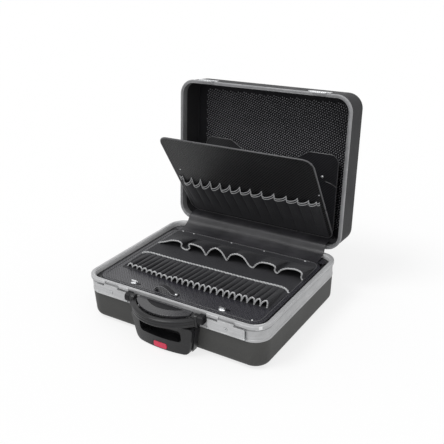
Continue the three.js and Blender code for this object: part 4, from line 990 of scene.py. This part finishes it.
# Pockets: cloth that is sewn down at its seams and arches between them

def arch_points(x0, x1, share, rise, steps, lean=0.0, power=0.75):
    """One arch across X as (x, height) pairs, its sides steep and its crown round."""
    points = []
    for k in range(steps + 1):
        t = k / steps
        bow = math.sin(math.pi * t) ** power if 0 < k < steps else 0.0
        x = x0 + (x1 - x0) * (1 - math.cos(math.pi * t)) / 2 + lean * bow * share
        points.append((x, rise * share * bow))
    return points


def sag_share(t):
    """How far a mouth sags from seam to seam: a steep drop, then a long rise."""
    return math.sin(math.pi * t ** 0.62) ** 0.8 if 0 < t < 1 else 0.0


def pocket_row(name, seams, rises, leans, front, back, fall, floor, material, steps=10, rows=12,
               sags=None, lift=0.6 * MM, wrinkle=0.5 * MM, power=0.75):
    """Cloth over a row of pockets, open at the front. fall(s) is the share of the rise left at s
    of the way back, and each pocket's mouth sags back by its part of sags between its seams."""
    grid = []
    for r in range(rows + 1):
        s = r / rows
        row = []
        for i, (x0, x1) in enumerate(zip(seams, seams[1:])):
            arch = arch_points(x0, x1, fall(s), rises[i], steps, leans[i], power)
            for k, (x, z) in enumerate(arch):
                if i > 0 and k == 0:
                    continue
                open_y = front + (sags[i] * sag_share(k / steps) if sags else 0.0)
                y = open_y + (back - open_y) * s
                wave = noise.noise(Vector((x * 60, y * 25, i * 3.1))) * wrinkle * min(1.0, z / (3 * MM))
                row.append(Vector((x, y, floor + lift + z + wave)))
        grid.append(row)
    return sheet_mesh(name, grid, material)


def sheet_mesh(name, grid, *materials):
    """A skin through a grid of points, with lengths in metres as UV."""
    columns = len(grid[0])
    points = [p for row in grid for p in row]
    along = lengths_along(grid[len(grid) // 2])
    down = lengths_along([row[columns // 2] for row in grid])
    faces, uvs = [], []
    for i in range(len(grid) - 1):
        for j in range(columns - 1):
            a = i * columns + j
            faces.append((a, a + 1, a + columns + 1, a + columns))
            uvs.extend([(along[j], down[i]), (along[j + 1], down[i]), (along[j + 1], down[i + 1]),
                        (along[j], down[i + 1])])
    mesh = bpy.data.meshes.new(name)
    mesh.from_pydata(points, [], faces)
    layer = mesh.uv_layers.new(name="lengths")
    layer.data.foreach_set("uv", [value for uv in uvs for value in uv])
    return smooth(add_object(name, mesh, *materials), 70)


def thicken(obj, thickness):
    solid = obj.modifiers.new("thickness", "SOLIDIFY")
    solid.thickness = thickness
    solid.offset = 0.0
    mesh = baked(obj)
    obj.modifiers.clear()
    obj.data = mesh
    face_outward(mesh)
    return smooth(obj, 60)


def front_edge(seams, rises, leans, front, floor, steps, sags=None, lift=0.6 * MM, power=0.75):
    path = []
    for i, (x0, x1) in enumerate(zip(seams, seams[1:])):
        arch = arch_points(x0, x1, 1.0, rises[i], steps, leans[i], power)
        for k, (x, z) in enumerate(arch):
            if i > 0 and k == 0:
                continue
            sag = sags[i] * sag_share(k / steps) if sags else 0.0
            path.append(Vector((x, front + sag, floor + lift + z)))
    return path


# The first loops are low, the next ones grow, and the rest are tall
LOOP_COUNT = 25
LOOP_LOW_COUNT = 9
LOOP_GROWING_COUNT = 8
LOOP_SPAN = (-193 * MM, 203 * MM)
LOOP_FRONT = -107.5 * MM
LOOP_BACK = -11.5 * MM
LOOP_LOW_RISE = 11 * MM
LOOP_HIGH_RISES = (15.5 * MM, 17.5 * MM)
LOOP_LEANS = (3.4, 6.4)
LOOP_STEPS = 12
LOOP_ROWS = 14
LOOP_CROWN = 1.15
CLOTH_THICKNESS = 0.8 * MM
LOOP_SIDE = [(-205, -26), (-203, -60), (-202, -99)]
LOOP_RAIL = [(-205, -24), (-198, -16), (-178, -11.5), (-110, -12.5), (0, -11), (110, -9.5), (184, -5.5),
             (205, -11), (216, -21)]


def bowed(points):
    """Draws the ends of the loops' open mouth back, by a share that fades towards the rail."""
    for point in points:
        p = getattr(point, "co", point)
        share = (LOOP_BACK - p.y) / (LOOP_BACK - LOOP_FRONT)
        p.y += 8 * MM * ((p.x - 30 * MM) / (185 * MM)) ** 2 * share


def tool_loops():
    seams = [LOOP_SPAN[0] + (LOOP_SPAN[1] - LOOP_SPAN[0]) * k / LOOP_COUNT for k in range(LOOP_COUNT + 1)]
    seams[1:-1] = [x + random.uniform(-0.9, 0.9) * MM for x in seams[1:-1]]
    low, high = LOOP_HIGH_RISES
    tall = [low + (high - low) * min(1.0, k / LOOP_GROWING_COUNT)
            for k in range(LOOP_COUNT - LOOP_LOW_COUNT)]
    rises = [rise * random.uniform(0.94, 1.03) for rise in [LOOP_LOW_RISE] * LOOP_LOW_COUNT + tall]
    leans = [random.uniform(*LOOP_LEANS) * MM for _ in range(LOOP_COUNT)]
    row = pocket_row("tool_loop_cloth", seams, rises, leans, LOOP_FRONT, LOOP_BACK,
                     lambda s: 1 - 0.92 * s ** 1.2, board_top, loop_cloth, LOOP_STEPS, LOOP_ROWS,
                     power=LOOP_CROWN)
    bowed(row.data.vertices)
    thicken(row, CLOTH_THICKNESS)
    back_edge = [(x * MM, y * MM, 0) for x, y in reversed(LOOP_RAIL[1:-1])]
    front = LOOP_FRONT + 2 * MM
    ends = rounded([(-203 * MM, front, 0), (212 * MM, front, 0), (214 * MM, -22 * MM, 0), *back_edge,
                    (-203 * MM, -22 * MM, 0)])
    backing = prism("tool_loop_backing", ends, board_top, board_top + 0.5 * MM, ALONG_Z, loop_cloth)
    bevel(backing, 0.2 * MM, 1)
    edge = front_edge(seams, rises, leans, LOOP_FRONT, board_top, LOOP_STEPS, power=LOOP_CROWN)
    bowed(edge)
    trim = twisted_cord("tool_loop_cord", path_object(edge), 1.9 * MM, 0.58, 46.0, 0.9 * MM)
    back = points_at(LOOP_RAIL, board_top + 2.4 * MM)
    rail = twisted_cord("tool_loop_rail_cord", path_object(smooth_run(back, 8)), 2.4 * MM, 0.5, 28.0,
                        1.1 * MM)
    side = points_at(LOOP_SIDE, board_top + 1.1 * MM)
    hem = plain_cord("tool_loop_side_hem", board_edge, path_object(side), 0.9 * MM)
    place(row, "base_board", "fabric", "tool_loops")
    for piece in (backing, trim, rail, hem):
        place(piece, "base_board", "fabric")


# The pockets' open mouth, as places across the board and heights above it
POCKET_MOUTH = [(-205, 1), (-201, 3), (-190, 7), (-179, 11), (-165, 17), (-150, 20), (-138, 20.5),
                (-129, 16), (-131, 9), (-127, 4), (-118, 1.5), (-109, 4), (-104, 10), (-107, 17),
                (-99, 22), (-82, 21.5), (-68, 18.5), (-60, 10), (-54, 1.5), (-46, 12), (-36, 22.5),
                (-22, 28), (-8, 22), (2, 10), (9, 3),
                (20, 19), (36, 26), (50, 25), (60, 19), (70, 7), (77, 1.2), (85, 1.5), (94, 12), (106, 20),
                (120, 22.5), (134, 22.5), (145, 18.5), (144, 8.5), (151, 3), (160, 13), (174, 21),
                (190, 24.5), (203, 25), (215, 20), (214, 8.5), (217, 2)]
POCKET_FRONT = 47 * MM
POCKET_BACK = 117 * MM
POCKET_WRINKLE = 1.6 * MM
POCKET_LIFT = 1.1 * MM
POCKET_SLACK = 4 * MM
POCKET_STEPS = 4
POCKET_ROWS = 18
# Scale of the wrinkles across and along, and their place in the noise
POCKET_FOLDS = (55, 28, 4.7)
BAND_LEFT = -207 * MM
BAND_RIGHT = 216 * MM
BAND_FRONT = -7 * MM
BAND_CORNER = 6 * MM
BAND_STITCHED = (-210 * MM, 212 * MM)


def smooth_run(points, steps):
    """A smooth run through the points, with this many steps between neighbours."""
    run = []
    for k in range(len(points) - 1):
        a, b = points[k], points[k + 1]
        before, after = points[max(0, k - 1)], points[min(len(points) - 1, k + 2)]
        run.extend(hermite(a, b, (b - before) / 2, (after - a) / 2, i / steps) for i in range(steps))
    return run + [points[-1]]


def large_pockets():
    mouth = smooth_run([Vector((x * MM, POCKET_FRONT, z * MM)) for x, z in POCKET_MOUTH], POCKET_STEPS)
    across, along, place_in_noise = POCKET_FOLDS
    grid = []
    for r in range(POCKET_ROWS + 1):
        s = r / POCKET_ROWS
        row = []
        for p in mouth:
            y = p.y + (POCKET_BACK - p.y) * s
            loose = min(1.0, p.z * (1 - s) / POCKET_SLACK)
            wave = noise.noise(Vector((p.x * across, y * along, place_in_noise))) * POCKET_WRINKLE * loose
            row.append(Vector((p.x, y, board_top + POCKET_LIFT + max(0.0, p.z) * (1 - s) ** 0.8 + wave)))
        grid.append(row)
    row = thicken(sheet_mesh("large_pocket_cloth", grid, pocket_cloth), 1.0 * MM)
    edge = [Vector((p.x, p.y - 0.6 * MM, board_top + 0.9 * MM + max(0.0, p.z))) for p in mouth]
    trim = twisted_cord("large_pocket_cord", path_object(edge), 2.0 * MM, 0.55, 32.0, 0.9 * MM)
    band = rectangle(BAND_LEFT, BAND_RIGHT, BAND_FRONT, board_high.y - 7 * MM, BAND_CORNER)
    backing = prism("pocket_band", band, board_top, board_top + 0.5 * MM, ALONG_Z, pocket_cloth)
    bevel(backing, 0.2 * MM, 2)
    sewn = [[Vector((x, y, board_top + 0.7 * MM)) for x in BAND_STITCHED]
            for y in (POCKET_BACK + 1 * MM, POCKET_BACK + 4 * MM, board_high.y - 10 * MM)]
    thread = grow("pocket_band_stitches", stitches, dark_thread, path_object(*sewn))
    place(row, "base_board", "fabric", "large_pockets")
    for piece in (trim, backing, thread):
        place(piece, "base_board", "fabric")
    for piece in (row, trim):
        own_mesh(piece)


RIVET_PLACES = [(-192, 141), (-156, 141), (-36, 141.5), (63, 141), (179, 141)]
STUD_PLACE = (200, -159)


def rivets_and_studs():
    points = points_at(RIVET_PLACES, board_top + 1.1 * MM)
    row = grow("board_rivets", studs, chrome, path_object(points), Radius=2.4 * MM, Height=1.2 * MM)
    point = points_at([STUD_PLACE], board_top + 0.2 * MM)
    single = grow("board_stud", studs, chrome, path_object(point), Radius=2.2 * MM, Height=1.4 * MM)
    for piece in (row, single):
        place(piece, "base_board", "steel")


STRAP_ROWS = 8
STRAP_STEPS = 28
STRAP_ARCH = 0.8
STRAP_RISE = 13.5 * MM


def pull_strap():
    """A strap that arches over most of its length and lies flat at one end."""
    low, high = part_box("pull_strap")
    half = (high.x - low.x) / 2
    centre = (high.x + low.x) / 2
    grid = []
    for r in range(STRAP_ROWS + 1):
        y = low.y + (high.y - low.y) * r / STRAP_ROWS
        row = []
        for k in range(STRAP_STEPS + 1):
            t = k / STRAP_STEPS
            share = min(1.0, t / STRAP_ARCH)
            rise = STRAP_RISE * math.sin(math.pi * share ** 0.8) if share < 1 else 0.0
            row.append(Vector((centre - half + 2 * half * t, y, board_top + 1.2 * MM + rise)))
        grid.append(row)
    strap = thicken(sheet_mesh("pull_strap_webbing", grid, strap_webbing), 1.5 * MM)
    place(strap, "base_board", "fabric", "pull_strap")
    edges = [[Vector((p.x, y, p.z + 0.8 * MM)) for p in grid[0]]
             for y in (low.y + 0.4 * MM, high.y - 1.4 * MM)]
    place(grow("pull_strap_stitches", stitches, dark_thread, path_object(edges[1])), "base_board", "fabric")
    # A pale cord along the strap's near edge: a painted highlight on that edge
    highlight_thread = plain_cord("pull_strap_highlight_thread", strap_highlight_thread, path_object(edges[0]), 0.8 * MM, step=1.5 * MM)
    place(highlight_thread, "base_board", "fabric")
    ends = [Vector((high.x - 5 * MM, (low.y + high.y) / 2, board_top + 2.0 * MM))]
    snap = grow("pull_strap_snaps", studs, chrome, path_object(ends), Radius=3.4 * MM, Height=2.0 * MM)
    place(snap, "base_board", "steel")


SLOT_PLATES = [("left", -112, -155), ("right", 134, -151)]
SLOT_PLATE_HALF = (7, 3)
SLOT_PLATE_RADIUS = 2.9 * MM
SLOT_PLATE_HEIGHTS = (-0.4 * MM, 0.35 * MM)
FLAP_INNER = 209 * MM
FLAP_FRONT = 148.5 * MM
FLAP_BACK = 172 * MM
FLAP_CORNER = 16 * MM
FLAP_HEIGHTS = (-1.2 * MM, -0.4 * MM)
TRIM_BEVEL = 0.25 * MM


def fastener_slots():
    """Dark oval slot plates beside the two turn fasteners."""
    half_x, half_y = SLOT_PLATE_HALF
    low, high = (board_top + height for height in SLOT_PLATE_HEIGHTS)
    for side, x, y in SLOT_PLATES:
        outline = rectangle((x - half_x) * MM, (x + half_x) * MM, (y - half_y) * MM, (y + half_y) * MM,
                            SLOT_PLATE_RADIUS, 6)
        plate = prism(f"fastener_slot_{side}", outline, low, high, ALONG_Z, inlay_plastic)
        bevel(plate, TRIM_BEVEL, 2)
        place(plate, "base_board", "black_plastic")


def corner_flaps():
    """Lining over the gaps behind the board, on both sides of the hinge cover."""
    low, high = (board_top + height for height in FLAP_HEIGHTS)
    for side, name in ((-1, "left"), (1, "right")):
        near, far = side * FLAP_INNER, side * (board_high.x - 1 * MM)
        shape = [(near, FLAP_FRONT, 1 * MM), (far, FLAP_FRONT, 1 * MM), (far, FLAP_BACK, FLAP_CORNER),
                 (near, FLAP_BACK, 1 * MM)]
        outline = rounded(shape if side > 0 else shape[::-1])
        flap = prism(f"corner_flap_{name}", outline, low, high, ALONG_Z, board_vinyl)
        bevel(flap, TRIM_BEVEL, 2)
        place(flap, "base", "board_lining")


# Hinge cover

COVER_HALF = 208 * MM
COVER_STEPS = 34
COVER_COLUMNS = 40
COVER_SWELL = 0.8 * MM
COVER_ROUTE = [(148.2, 103.9), (153, 104.0), (159, 104.9), (167.1, 106.1), (175.5, 109), (182.6, 112.2),
               (188.6, 117), (193, 123.5), (197.8, 130), (205.8, 133.6), (216.8, 134.8), (228.6, 135.4)]


def hinge_cover():
    knots = [Vector((0, y * MM, z * MM)) for y, z in COVER_ROUTE]
    lengths = lengths_along(knots)
    grid = []
    for i in range(COVER_STEPS + 1):
        at = lengths[-1] * i / COVER_STEPS
        k = max(1, next((n for n, value in enumerate(lengths) if value >= at - 1e-9), 1))
        share = (at - lengths[k - 1]) / (lengths[k] - lengths[k - 1])
        before, after = knots[max(0, k - 2)], knots[min(len(knots) - 1, k + 1)]
        tangents = ((knots[k] - before) / 2, (after - knots[k - 1]) / 2)
        p = hermite(knots[k - 1], knots[k], *tangents, share)
        row = []
        for j in range(COVER_COLUMNS + 1):
            x = COVER_HALF * (2 * j / COVER_COLUMNS - 1)
            swell = COVER_SWELL * noise.noise(Vector((x * 9, at * 40, 0.0)))
            swell *= math.sin(math.pi * i / COVER_STEPS)
            row.append(Vector((x, p.y - swell * 0.5, p.z + swell)))
        grid.append(row)
    cover = thicken(sheet_mesh("hinge_cover_sheet", grid, hinge_vinyl), 1.3 * MM)
    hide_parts("hinge_cover")
    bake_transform(cover)


def hermite(a, b, ta, tb, t):
    t2, t3 = t * t, t * t * t
    return a * (2 * t3 - 3 * t2 + 1) + ta * (t3 - 2 * t2 + t) + b * (3 * t2 - 2 * t3) + tb * (t3 - t2)


# Inside of the lid

DOT_PITCH = 6.7 * MM
DOT_TURN = math.radians(-15)
DOT_FIELD = (0.2085, 0.163)
LINER_FRONT = LID_DEPTH - SHELL_WALL - 2 * GAP - 9 * MM


def honeycomb(half_x, half_y):
    """Points of a turned honeycomb pattern that fill a rectangle."""
    across = Vector((math.cos(DOT_TURN), math.sin(DOT_TURN), 0)) * DOT_PITCH
    up = Matrix.Rotation(math.radians(60), 3, "Z") @ across
    reach = int(2 * max(half_x, half_y) / DOT_PITCH)
    spots = [across * i + up * k for i in range(-reach, reach + 1) for k in range(-reach, reach + 1)]
    return [p for p in spots if abs(p.x) < half_x and abs(p.y) < half_y]


def lid_liner():
    front = LINER_FRONT
    top = LID_DEPTH - SHELL_WALL
    radius = SHELL_EDGE_RADIUS - SHELL_WALL
    inset = SHELL_INSET + SHELL_DRAFT + SHELL_WALL + radius
    edge = [p for p in arc(inset, top - radius, radius - 2 * GAP, 180, 90, 12) if p.y > front + 2 * MM]
    lip = edge[0].x
    profile = [(lip + 4 * MM, front), (lip + 1.2 * MM, front + 0.5 * MM), (lip, front + 2 * MM),
               *[(p.x, p.y) for p in edge]]
    liner = case_sweep("foam_liner", [(x, lid_rim + h) for x, h in profile], foam_base, closed=False)
    liner.data.transform(lid_open)
    place(liner, "lid", "foam", "lid_liner")
    dots = grow("foam_liner_dots", dimples, foam_dot_highlight, path_object(honeycomb(*DOT_FIELD)),
                Radius=1.9 * MM, Height=1.6 * MM)
    onto = Matrix.Translation((0, 0, lid_rim + front - 0.5 * MM)) @ Matrix.Rotation(math.pi, 4, "X")
    dots.data.transform(onto)
    dots.data.transform(lid_open)
    place(dots, "lid", "foam")


POUCH_HALF = 199 * MM
POUCH_DEPTH = 16 * MM
POUCH_STUD = (157, -26)
POUCH_SEAM = [(199, 48), (182, 40), (167, 37)]


def pouch_outline():
    """The pouch with its two ears at the front corners."""
    ear = [(76 * MM, -10 * MM, 14 * MM), (118 * MM, -35 * MM, 24 * MM),
           (POUCH_HALF, -35 * MM, 22 * MM)]
    left = [(-x, y, r) for x, y, r in reversed(ear)]
    return rounded([*left, *ear, (POUCH_HALF, 166 * MM, 4 * MM), (-POUCH_HALF, 166 * MM, 4 * MM)], 10)


def document_pouch():
    pouch = dressed("document_pouch", pouch_vinyl, "board_lining", 0.8 * MM, 2)
    front = lid_rim + LINER_FRONT - GAP - POUCH_DEPTH
    outline = pouch_outline()
    path = [Vector((p.x * 0.996, p.y + 0.6 * MM, front - 0.2 * MM)) for p in outline]
    trim = plain_cord("pouch_edge_cord", board_edge, path_object(path, closed=True), 1.2 * MM)
    stud = grow("pouch_stud", studs, chrome, path_object(points_at([POUCH_STUD], 0)),
                Radius=4 * MM, Height=2 * MM)
    stud.data.transform(Matrix.Translation((0, 0, front)) @ Matrix.Rotation(math.pi, 4, "X"))
    seam = points_at(POUCH_SEAM, front - 0.1 * MM)
    fold = plain_cord("pouch_seam", board_edge, path_object(seam), 0.8 * MM)
    for piece, slot in ((trim, "board_lining"), (stud, "steel"), (fold, "board_lining")):
        piece.data.transform(lid_open)
        place(piece, "lid", slot)
    return pouch


LID_BOARD_HALF = 216 * MM
LID_BOARD_HEIGHT = 289 * MM
LID_BOARD_THICKNESS = 3 * MM
LID_EYES = [(-193, 171), (209, 171)]


def on_lid_board(x, up, out):
    """A point on the lid board's face: across, up from its hinged edge and out from the face."""
    return Vector((x, board_pivot.y - up, board_pivot.z - LID_BOARD_THICKNESS / 2 - out))


def lid_board():
    board = dressed("lid_board", lid_board_shaded_vinyl, "board_lining", 0.7 * MM, 2)
    inset = 1.2 * MM
    edge = rectangle(-LID_BOARD_HALF + inset, LID_BOARD_HALF - inset, inset, LID_BOARD_HEIGHT - inset,
                     BOARD_CORNER, BOARD_CORNER_STEPS)
    points = [Vector((p.x, board_pivot.y - p.y, board_pivot.z)) for p in edge]
    trim = plain_cord("lid_board_trim", board_edge, path_object(points, closed=True), 1.9 * MM,
                      ROUND_LOBES, ROUND_STEP)
    trim.data.transform(lid_board_open)
    place(trim, "lid_board", "board_lining")
    eyes = [on_lid_board(x * MM, up * MM, 0.1 * MM) for x, up in LID_EYES]
    eye = grow("lid_board_studs", studs, steel, path_object([Vector((p.x, p.y, 0)) for p in eyes]),
               Radius=2.2 * MM, Height=1.4 * MM)
    eye.data.transform(Matrix.Translation((0, 0, eyes[0].z)) @ Matrix.Diagonal((1, 1, -1, 1)))
    eye.data.flip_normals()
    eye.data.transform(lid_board_open)
    place(eye, "lid_board", "steel")
    return board


# Seams across the lid board. Between two of them a pocket's mouth sags by its dip, and its cloth
# leans sideways by its lean.
LID_SEAMS = [-205, -196, -167, -138, -108, -77, -47, -17, 14, 47, 82, 116, 147, 177, 197, 205]
LID_DIPS = [4, 22, 23, 23, 22, 21, 19, 16, 15, 14, 12.5, 11, 10, 7, 4]
LID_LEANS = [0, -4, -4, -7, -7, -7, -7, -6, -6, -6, -6, -5, -5, -3, 0]
LID_LOOP_TOP = 144.5 * MM
LID_LOOP_LOW = 8 * MM
LID_LOOP_RISE = 6.5 * MM
LID_TAPE = 6.5 * MM
LID_STEPS = 12
LID_ROWS = 16


def lid_pockets():
    """The lid board's sleeves, drawn lying down and then stood on the board's face."""
    seams = [x * MM for x in LID_SEAMS]
    rises = [min(1.0, (b - a) / (24 * MM)) * LID_LOOP_RISE * random.uniform(0.92, 1.05)
             for a, b in zip(seams, seams[1:])]
    leans = [lean * MM for lean in LID_LEANS]
    dips = [dip * MM * random.uniform(0.95, 1.05) for dip in LID_DIPS]
    onto = Matrix.Translation(on_lid_board(0, 0, 0)) @ Matrix.Diagonal((1, 1, -1, 1))
    row = pocket_row("lid_pocket_cloth", seams, rises, leans, -LID_LOOP_TOP, -LID_LOOP_LOW,
                     lambda s: (1 - s) ** 1.2, 0.0, pocket_cloth, LID_STEPS, LID_ROWS, sags=dips,
                     wrinkle=1.0 * MM)
    thicken(row, CLOTH_THICKNESS)
    edges = [front_edge(seams, rises, leans, -LID_LOOP_TOP + shift, 0.0, LID_STEPS, dips, lift)
             for shift, lift in ((0.0, 0.6 * MM), (LID_TAPE, 1.2 * MM))]
    trim = twisted_cord("lid_pocket_cord", path_object(*edges), 1.0 * MM, 0.7, 60.0, 1.0 * MM)
    for piece in (row, trim):
        piece.data.transform(lid_board_open @ onto)
        piece.data.flip_normals()
    place(row, "lid_board", "fabric", "lid_pockets")
    place(trim, "lid_board", "fabric")


# Carry handle

HANDLE_ARC_Y = -143.5 * MM
BOW_INNER = 100 * MM
BOW_THICKNESS = 12 * MM
BOW_DROP = 11.5 * MM
BOW_SAG = 0.5 * MM
BOW_HEIGHT = 19.5 * MM
BOW_THIRD = 6.5 * MM
BOW_STEPS = 44
ARM_FACE = 93 * MM
ARM_HALF = 8 * MM
ARM_DROP = 34 * MM
PIN_RADIUS = 3 * MM
PIN_LENGTH = 9 * MM
handle_pivot = Vector(joints["carry_handle_swing"]["pos_m"])


def bow_section(angle):
    """The bow's cross-section at one place round its arc: flat inside, a sloped top and two raised
    ridges outside."""
    outer = BOW_INNER + BOW_THICKNESS
    top = rim - BOW_DROP - BOW_SAG * math.cos(angle) ** 4
    low, third = top - BOW_HEIGHT, BOW_THIRD
    shape = rounded([(BOW_INNER, top, 1.2 * MM), (outer - 5 * MM, top, 3 * MM),
                     (outer, top - 2.6 * MM, 1.2 * MM), (outer, top - third + 1.6 * MM, 1.0 * MM),
                     (outer - 1.5 * MM, top - third, 0.5 * MM),
                     (outer - 0.3 * MM, top - third - 2 * MM, 1.2 * MM),
                     (outer - 0.3 * MM, low + third + 1.6 * MM, 1.2 * MM),
                     (outer - 1.5 * MM, low + third, 0.5 * MM), (outer, low + third - 2 * MM, 1.2 * MM),
                     (outer, low, 2.4 * MM), (BOW_INNER, low, 1.4 * MM)], 3)
    return [Vector((p.x * math.sin(angle), HANDLE_ARC_Y - p.x * math.cos(angle), p.y)) for p in shape]


def carry_handle():
    reach = math.acos((HANDLE_ARC_Y - handle_pivot.y) / BOW_INNER)
    sections = [bow_section(reach * (2 * k / BOW_STEPS - 1)) for k in range(BOW_STEPS + 1)]
    bow = loft("bow", sections, black_plastic)
    smooth(bow, 50)
    pieces = [bow]
    face = BOW_INNER * math.sin(reach)
    for side in (-1, 1):
        near, far = handle_pivot.y - ARM_HALF, handle_pivot.y + ARM_HALF
        low, high = rim - ARM_DROP, handle_pivot.z + ARM_HALF
        arm = rounded([(near, low, 5 * MM), (far, low, 5 * MM), (far, high, 7 * MM), (near, high, 7 * MM)], 8)
        span = sorted((side * (face + 0.6 * MM), side * ARM_FACE))
        plate = prism("arm", arm, *span, ALONG_X, black_plastic)
        pieces.append(smooth(bevel(plate, 1.1 * MM, 3), 32))
        pin = arc(handle_pivot.y, handle_pivot.z, PIN_RADIUS, 0, 345, 23)
        span = sorted((side * (ARM_FACE - 1 * MM), side * (ARM_FACE + PIN_LENGTH)))
        pieces.append(smooth(prism("pin", pin, *span, ALONG_X, black_plastic)))
    handle = join("carry_handle_bow", *pieces)
    smooth(handle, 40)
    place(handle, "carry_handle", "black_plastic", "carry_handle")


# Everything that keeps its solid's form: its finish, edge rounding and slot

def pairs(*names):
    return [f"{name}_{side}" for name in names for side in ("left", "right")]


DRESSED = [
    (pairs("foot_front", "foot_back"), rubber, "foot_rubber", 0.5),
    (pairs("lid_bumper"), rubber, "foot_rubber", 0.8),
    (pairs("wheel_housing"), black_plastic, "black_plastic", 0.5),
    (pairs("wheel_axle", "hinge_pin"), steel, "steel", 0.3),
    (pairs("wheel_hub"), hub_plastic, "grey_plastic", 0.4),
    (pairs("wheel_tyre"), rubber, "tyre_rubber", 0.6),
    (pairs("hinge_leaf_base", "hinge_leaf_lid"), steel, "steel", 0.35),
    (pairs("latch_back"), steel, "steel", 0.25),
    (pairs("latch_flap"), flap_aluminium, "frame_aluminium", 0.45),
    (pairs("lock_cylinder", "striker"), steel, "steel", 0.25),
    (["handle_console"], grey_plastic, "grey_plastic", 0.9),
    (["console_inlay"], inlay_plastic, "black_plastic", 0.25),
    (pairs("handle_block"), block_plastic, "black_plastic", 1.0),
    (["trolley_housing"], black_plastic, "black_plastic", 0.9),
    (["trolley_grip"], black_plastic, "black_plastic", 1.8),
    (["release_button"], red_plastic, "red_plastic", 0.8),
    (pairs("tube_guide", "tube_middle", "tube_inner"), steel, "steel", 0.2),
    (["base_floor"], shell_inside, "board_lining", 0.4),
    (["board_ledge"], black_plastic, "black_plastic", 0.4),
    (pairs("turn_knob"), chrome, "steel", 0.6),
    (["board_bracket"], black_plastic, "black_plastic", 0.3),
]


def dressed_parts():
    for names, finish, slot, width in DRESSED:
        for name in names:
            dressed(name, finish, slot, width * MM, 3 if width >= 0.8 else 2)


# Floor, light and camera

CAMERA_PLACE = Vector((0.79959128, -1.18484985, 0.85318558))
CAMERA_RIGHT = Vector((0.84427518, 0.53518322, -0.02789863))
CAMERA_UP = Vector((-0.19345863, 0.35291056, 0.91543863))
CAMERA_BACK = Vector((0.49977312, -0.76748489, 0.40148945))
CAMERA_LENS = 53.1544
CAMERA_SENSOR = 36
WORLD_LEVEL = 0.62
KEY_LEVEL = 1.35
FLOOR_TONE = 0.80
SEEN_TONE = 0.22


def camera():
    data = bpy.data.cameras.new("camera")
    data.sensor_width = CAMERA_SENSOR
    data.lens = CAMERA_LENS
    data.clip_start, data.clip_end = 0.01, 100
    seen = bpy.data.objects.new("camera", data)
    bpy.context.scene.collection.objects.link(seen)
    turn = Matrix((CAMERA_RIGHT, CAMERA_UP, CAMERA_BACK)).transposed().to_4x4()
    seen.matrix_world = Matrix.Translation(CAMERA_PLACE) @ turn
    bpy.context.scene.camera = seen


def sun(name, direction, strength, spread):
    data = bpy.data.lights.new(name, "SUN")
    data.energy = strength
    data.angle = math.radians(spread)
    lamp = bpy.data.objects.new(name, data)
    bpy.context.scene.collection.objects.link(lamp)
    lamp.rotation_mode = "QUATERNION"
    lamp.rotation_quaternion = Vector(direction).to_track_quat("-Z", "Y")


def seen_directly(wires):
    """1 on a ray from the camera, a mirror or glass, and 0 on one that only carries light."""
    rays = wires.node("ShaderNodeLightPath").outputs
    return wires.math("MAXIMUM", rays["Is Camera Ray"],
                      wires.math("MAXIMUM", rays["Is Glossy Ray"], rays["Is Transmission Ray"]))


def world():
    made = bpy.data.worlds.new("studio")
    bpy.context.scene.world = made
    made.use_nodes = True
    wires = Wiring(made.node_tree)
    background = made.node_tree.nodes["Background"]
    seen = seen_directly(wires)
    wires.feed(background.inputs["Color"], (1.0, 1.0, 1.0, 1.0))
    wires.feed(background.inputs["Strength"], wires.spread(seen, 0.0, 1.0, WORLD_LEVEL, 1.0))


def floor():
    """A pale floor that keeps the shadow. For the camera the rest of it is lifted to plain white."""
    mesh = bpy.data.meshes.new("studio_floor")
    size = 30.0
    corners = [(-size, -size, 0), (size, -size, 0), (size, size, 0), (-size, size, 0)]
    mesh.from_pydata(corners, [], [(0, 1, 2, 3)])
    finish = Finish("studio_floor")
    seen = seen_directly(finish)
    lit = SEEN_TONE * (WORLD_LEVEL + KEY_SHARE)
    tone = finish.colour(seen, (FLOOR_TONE,) * 3, (SEEN_TONE,) * 3)
    material = finish.set(Base_Color=tone, Roughness=1.0,
                          Specular_IOR_Level=0.0, Emission_Color=(1.0, 1.0, 1.0, 1.0))
    lift = finish.times(seen, max(0.0, 1.0 - lit))
    finish.feed(finish.shader.inputs["Emission Strength"], lift)
    add_object("studio_floor", mesh, material)


KEY_DIRECTION = Vector((0.35, 0.45, -1.0)).normalized()
FILL_DIRECTION = Vector((-0.6, 0.35, -0.75)).normalized()
FILL_LEVEL = 0.35
KEY_SPREAD = 24
FILL_SPREAD = 50
KEY_SHARE = (KEY_LEVEL * -KEY_DIRECTION.z + FILL_LEVEL * -FILL_DIRECTION.z) / math.pi


bpy.context.scene.view_settings.view_transform = "Standard"
frames()
shells()
base_board()
tool_loops()
large_pockets()
rivets_and_studs()
pull_strap()
fastener_slots()
corner_flaps()
hinge_cover()
lid_liner()
document_pouch()
lid_board()
lid_pockets()
carry_handle()
dressed_parts()
camera()
world()
sun("key_light", KEY_DIRECTION, KEY_LEVEL, KEY_SPREAD)
sun("fill_light", FILL_DIRECTION, FILL_LEVEL, FILL_SPREAD)
floor()
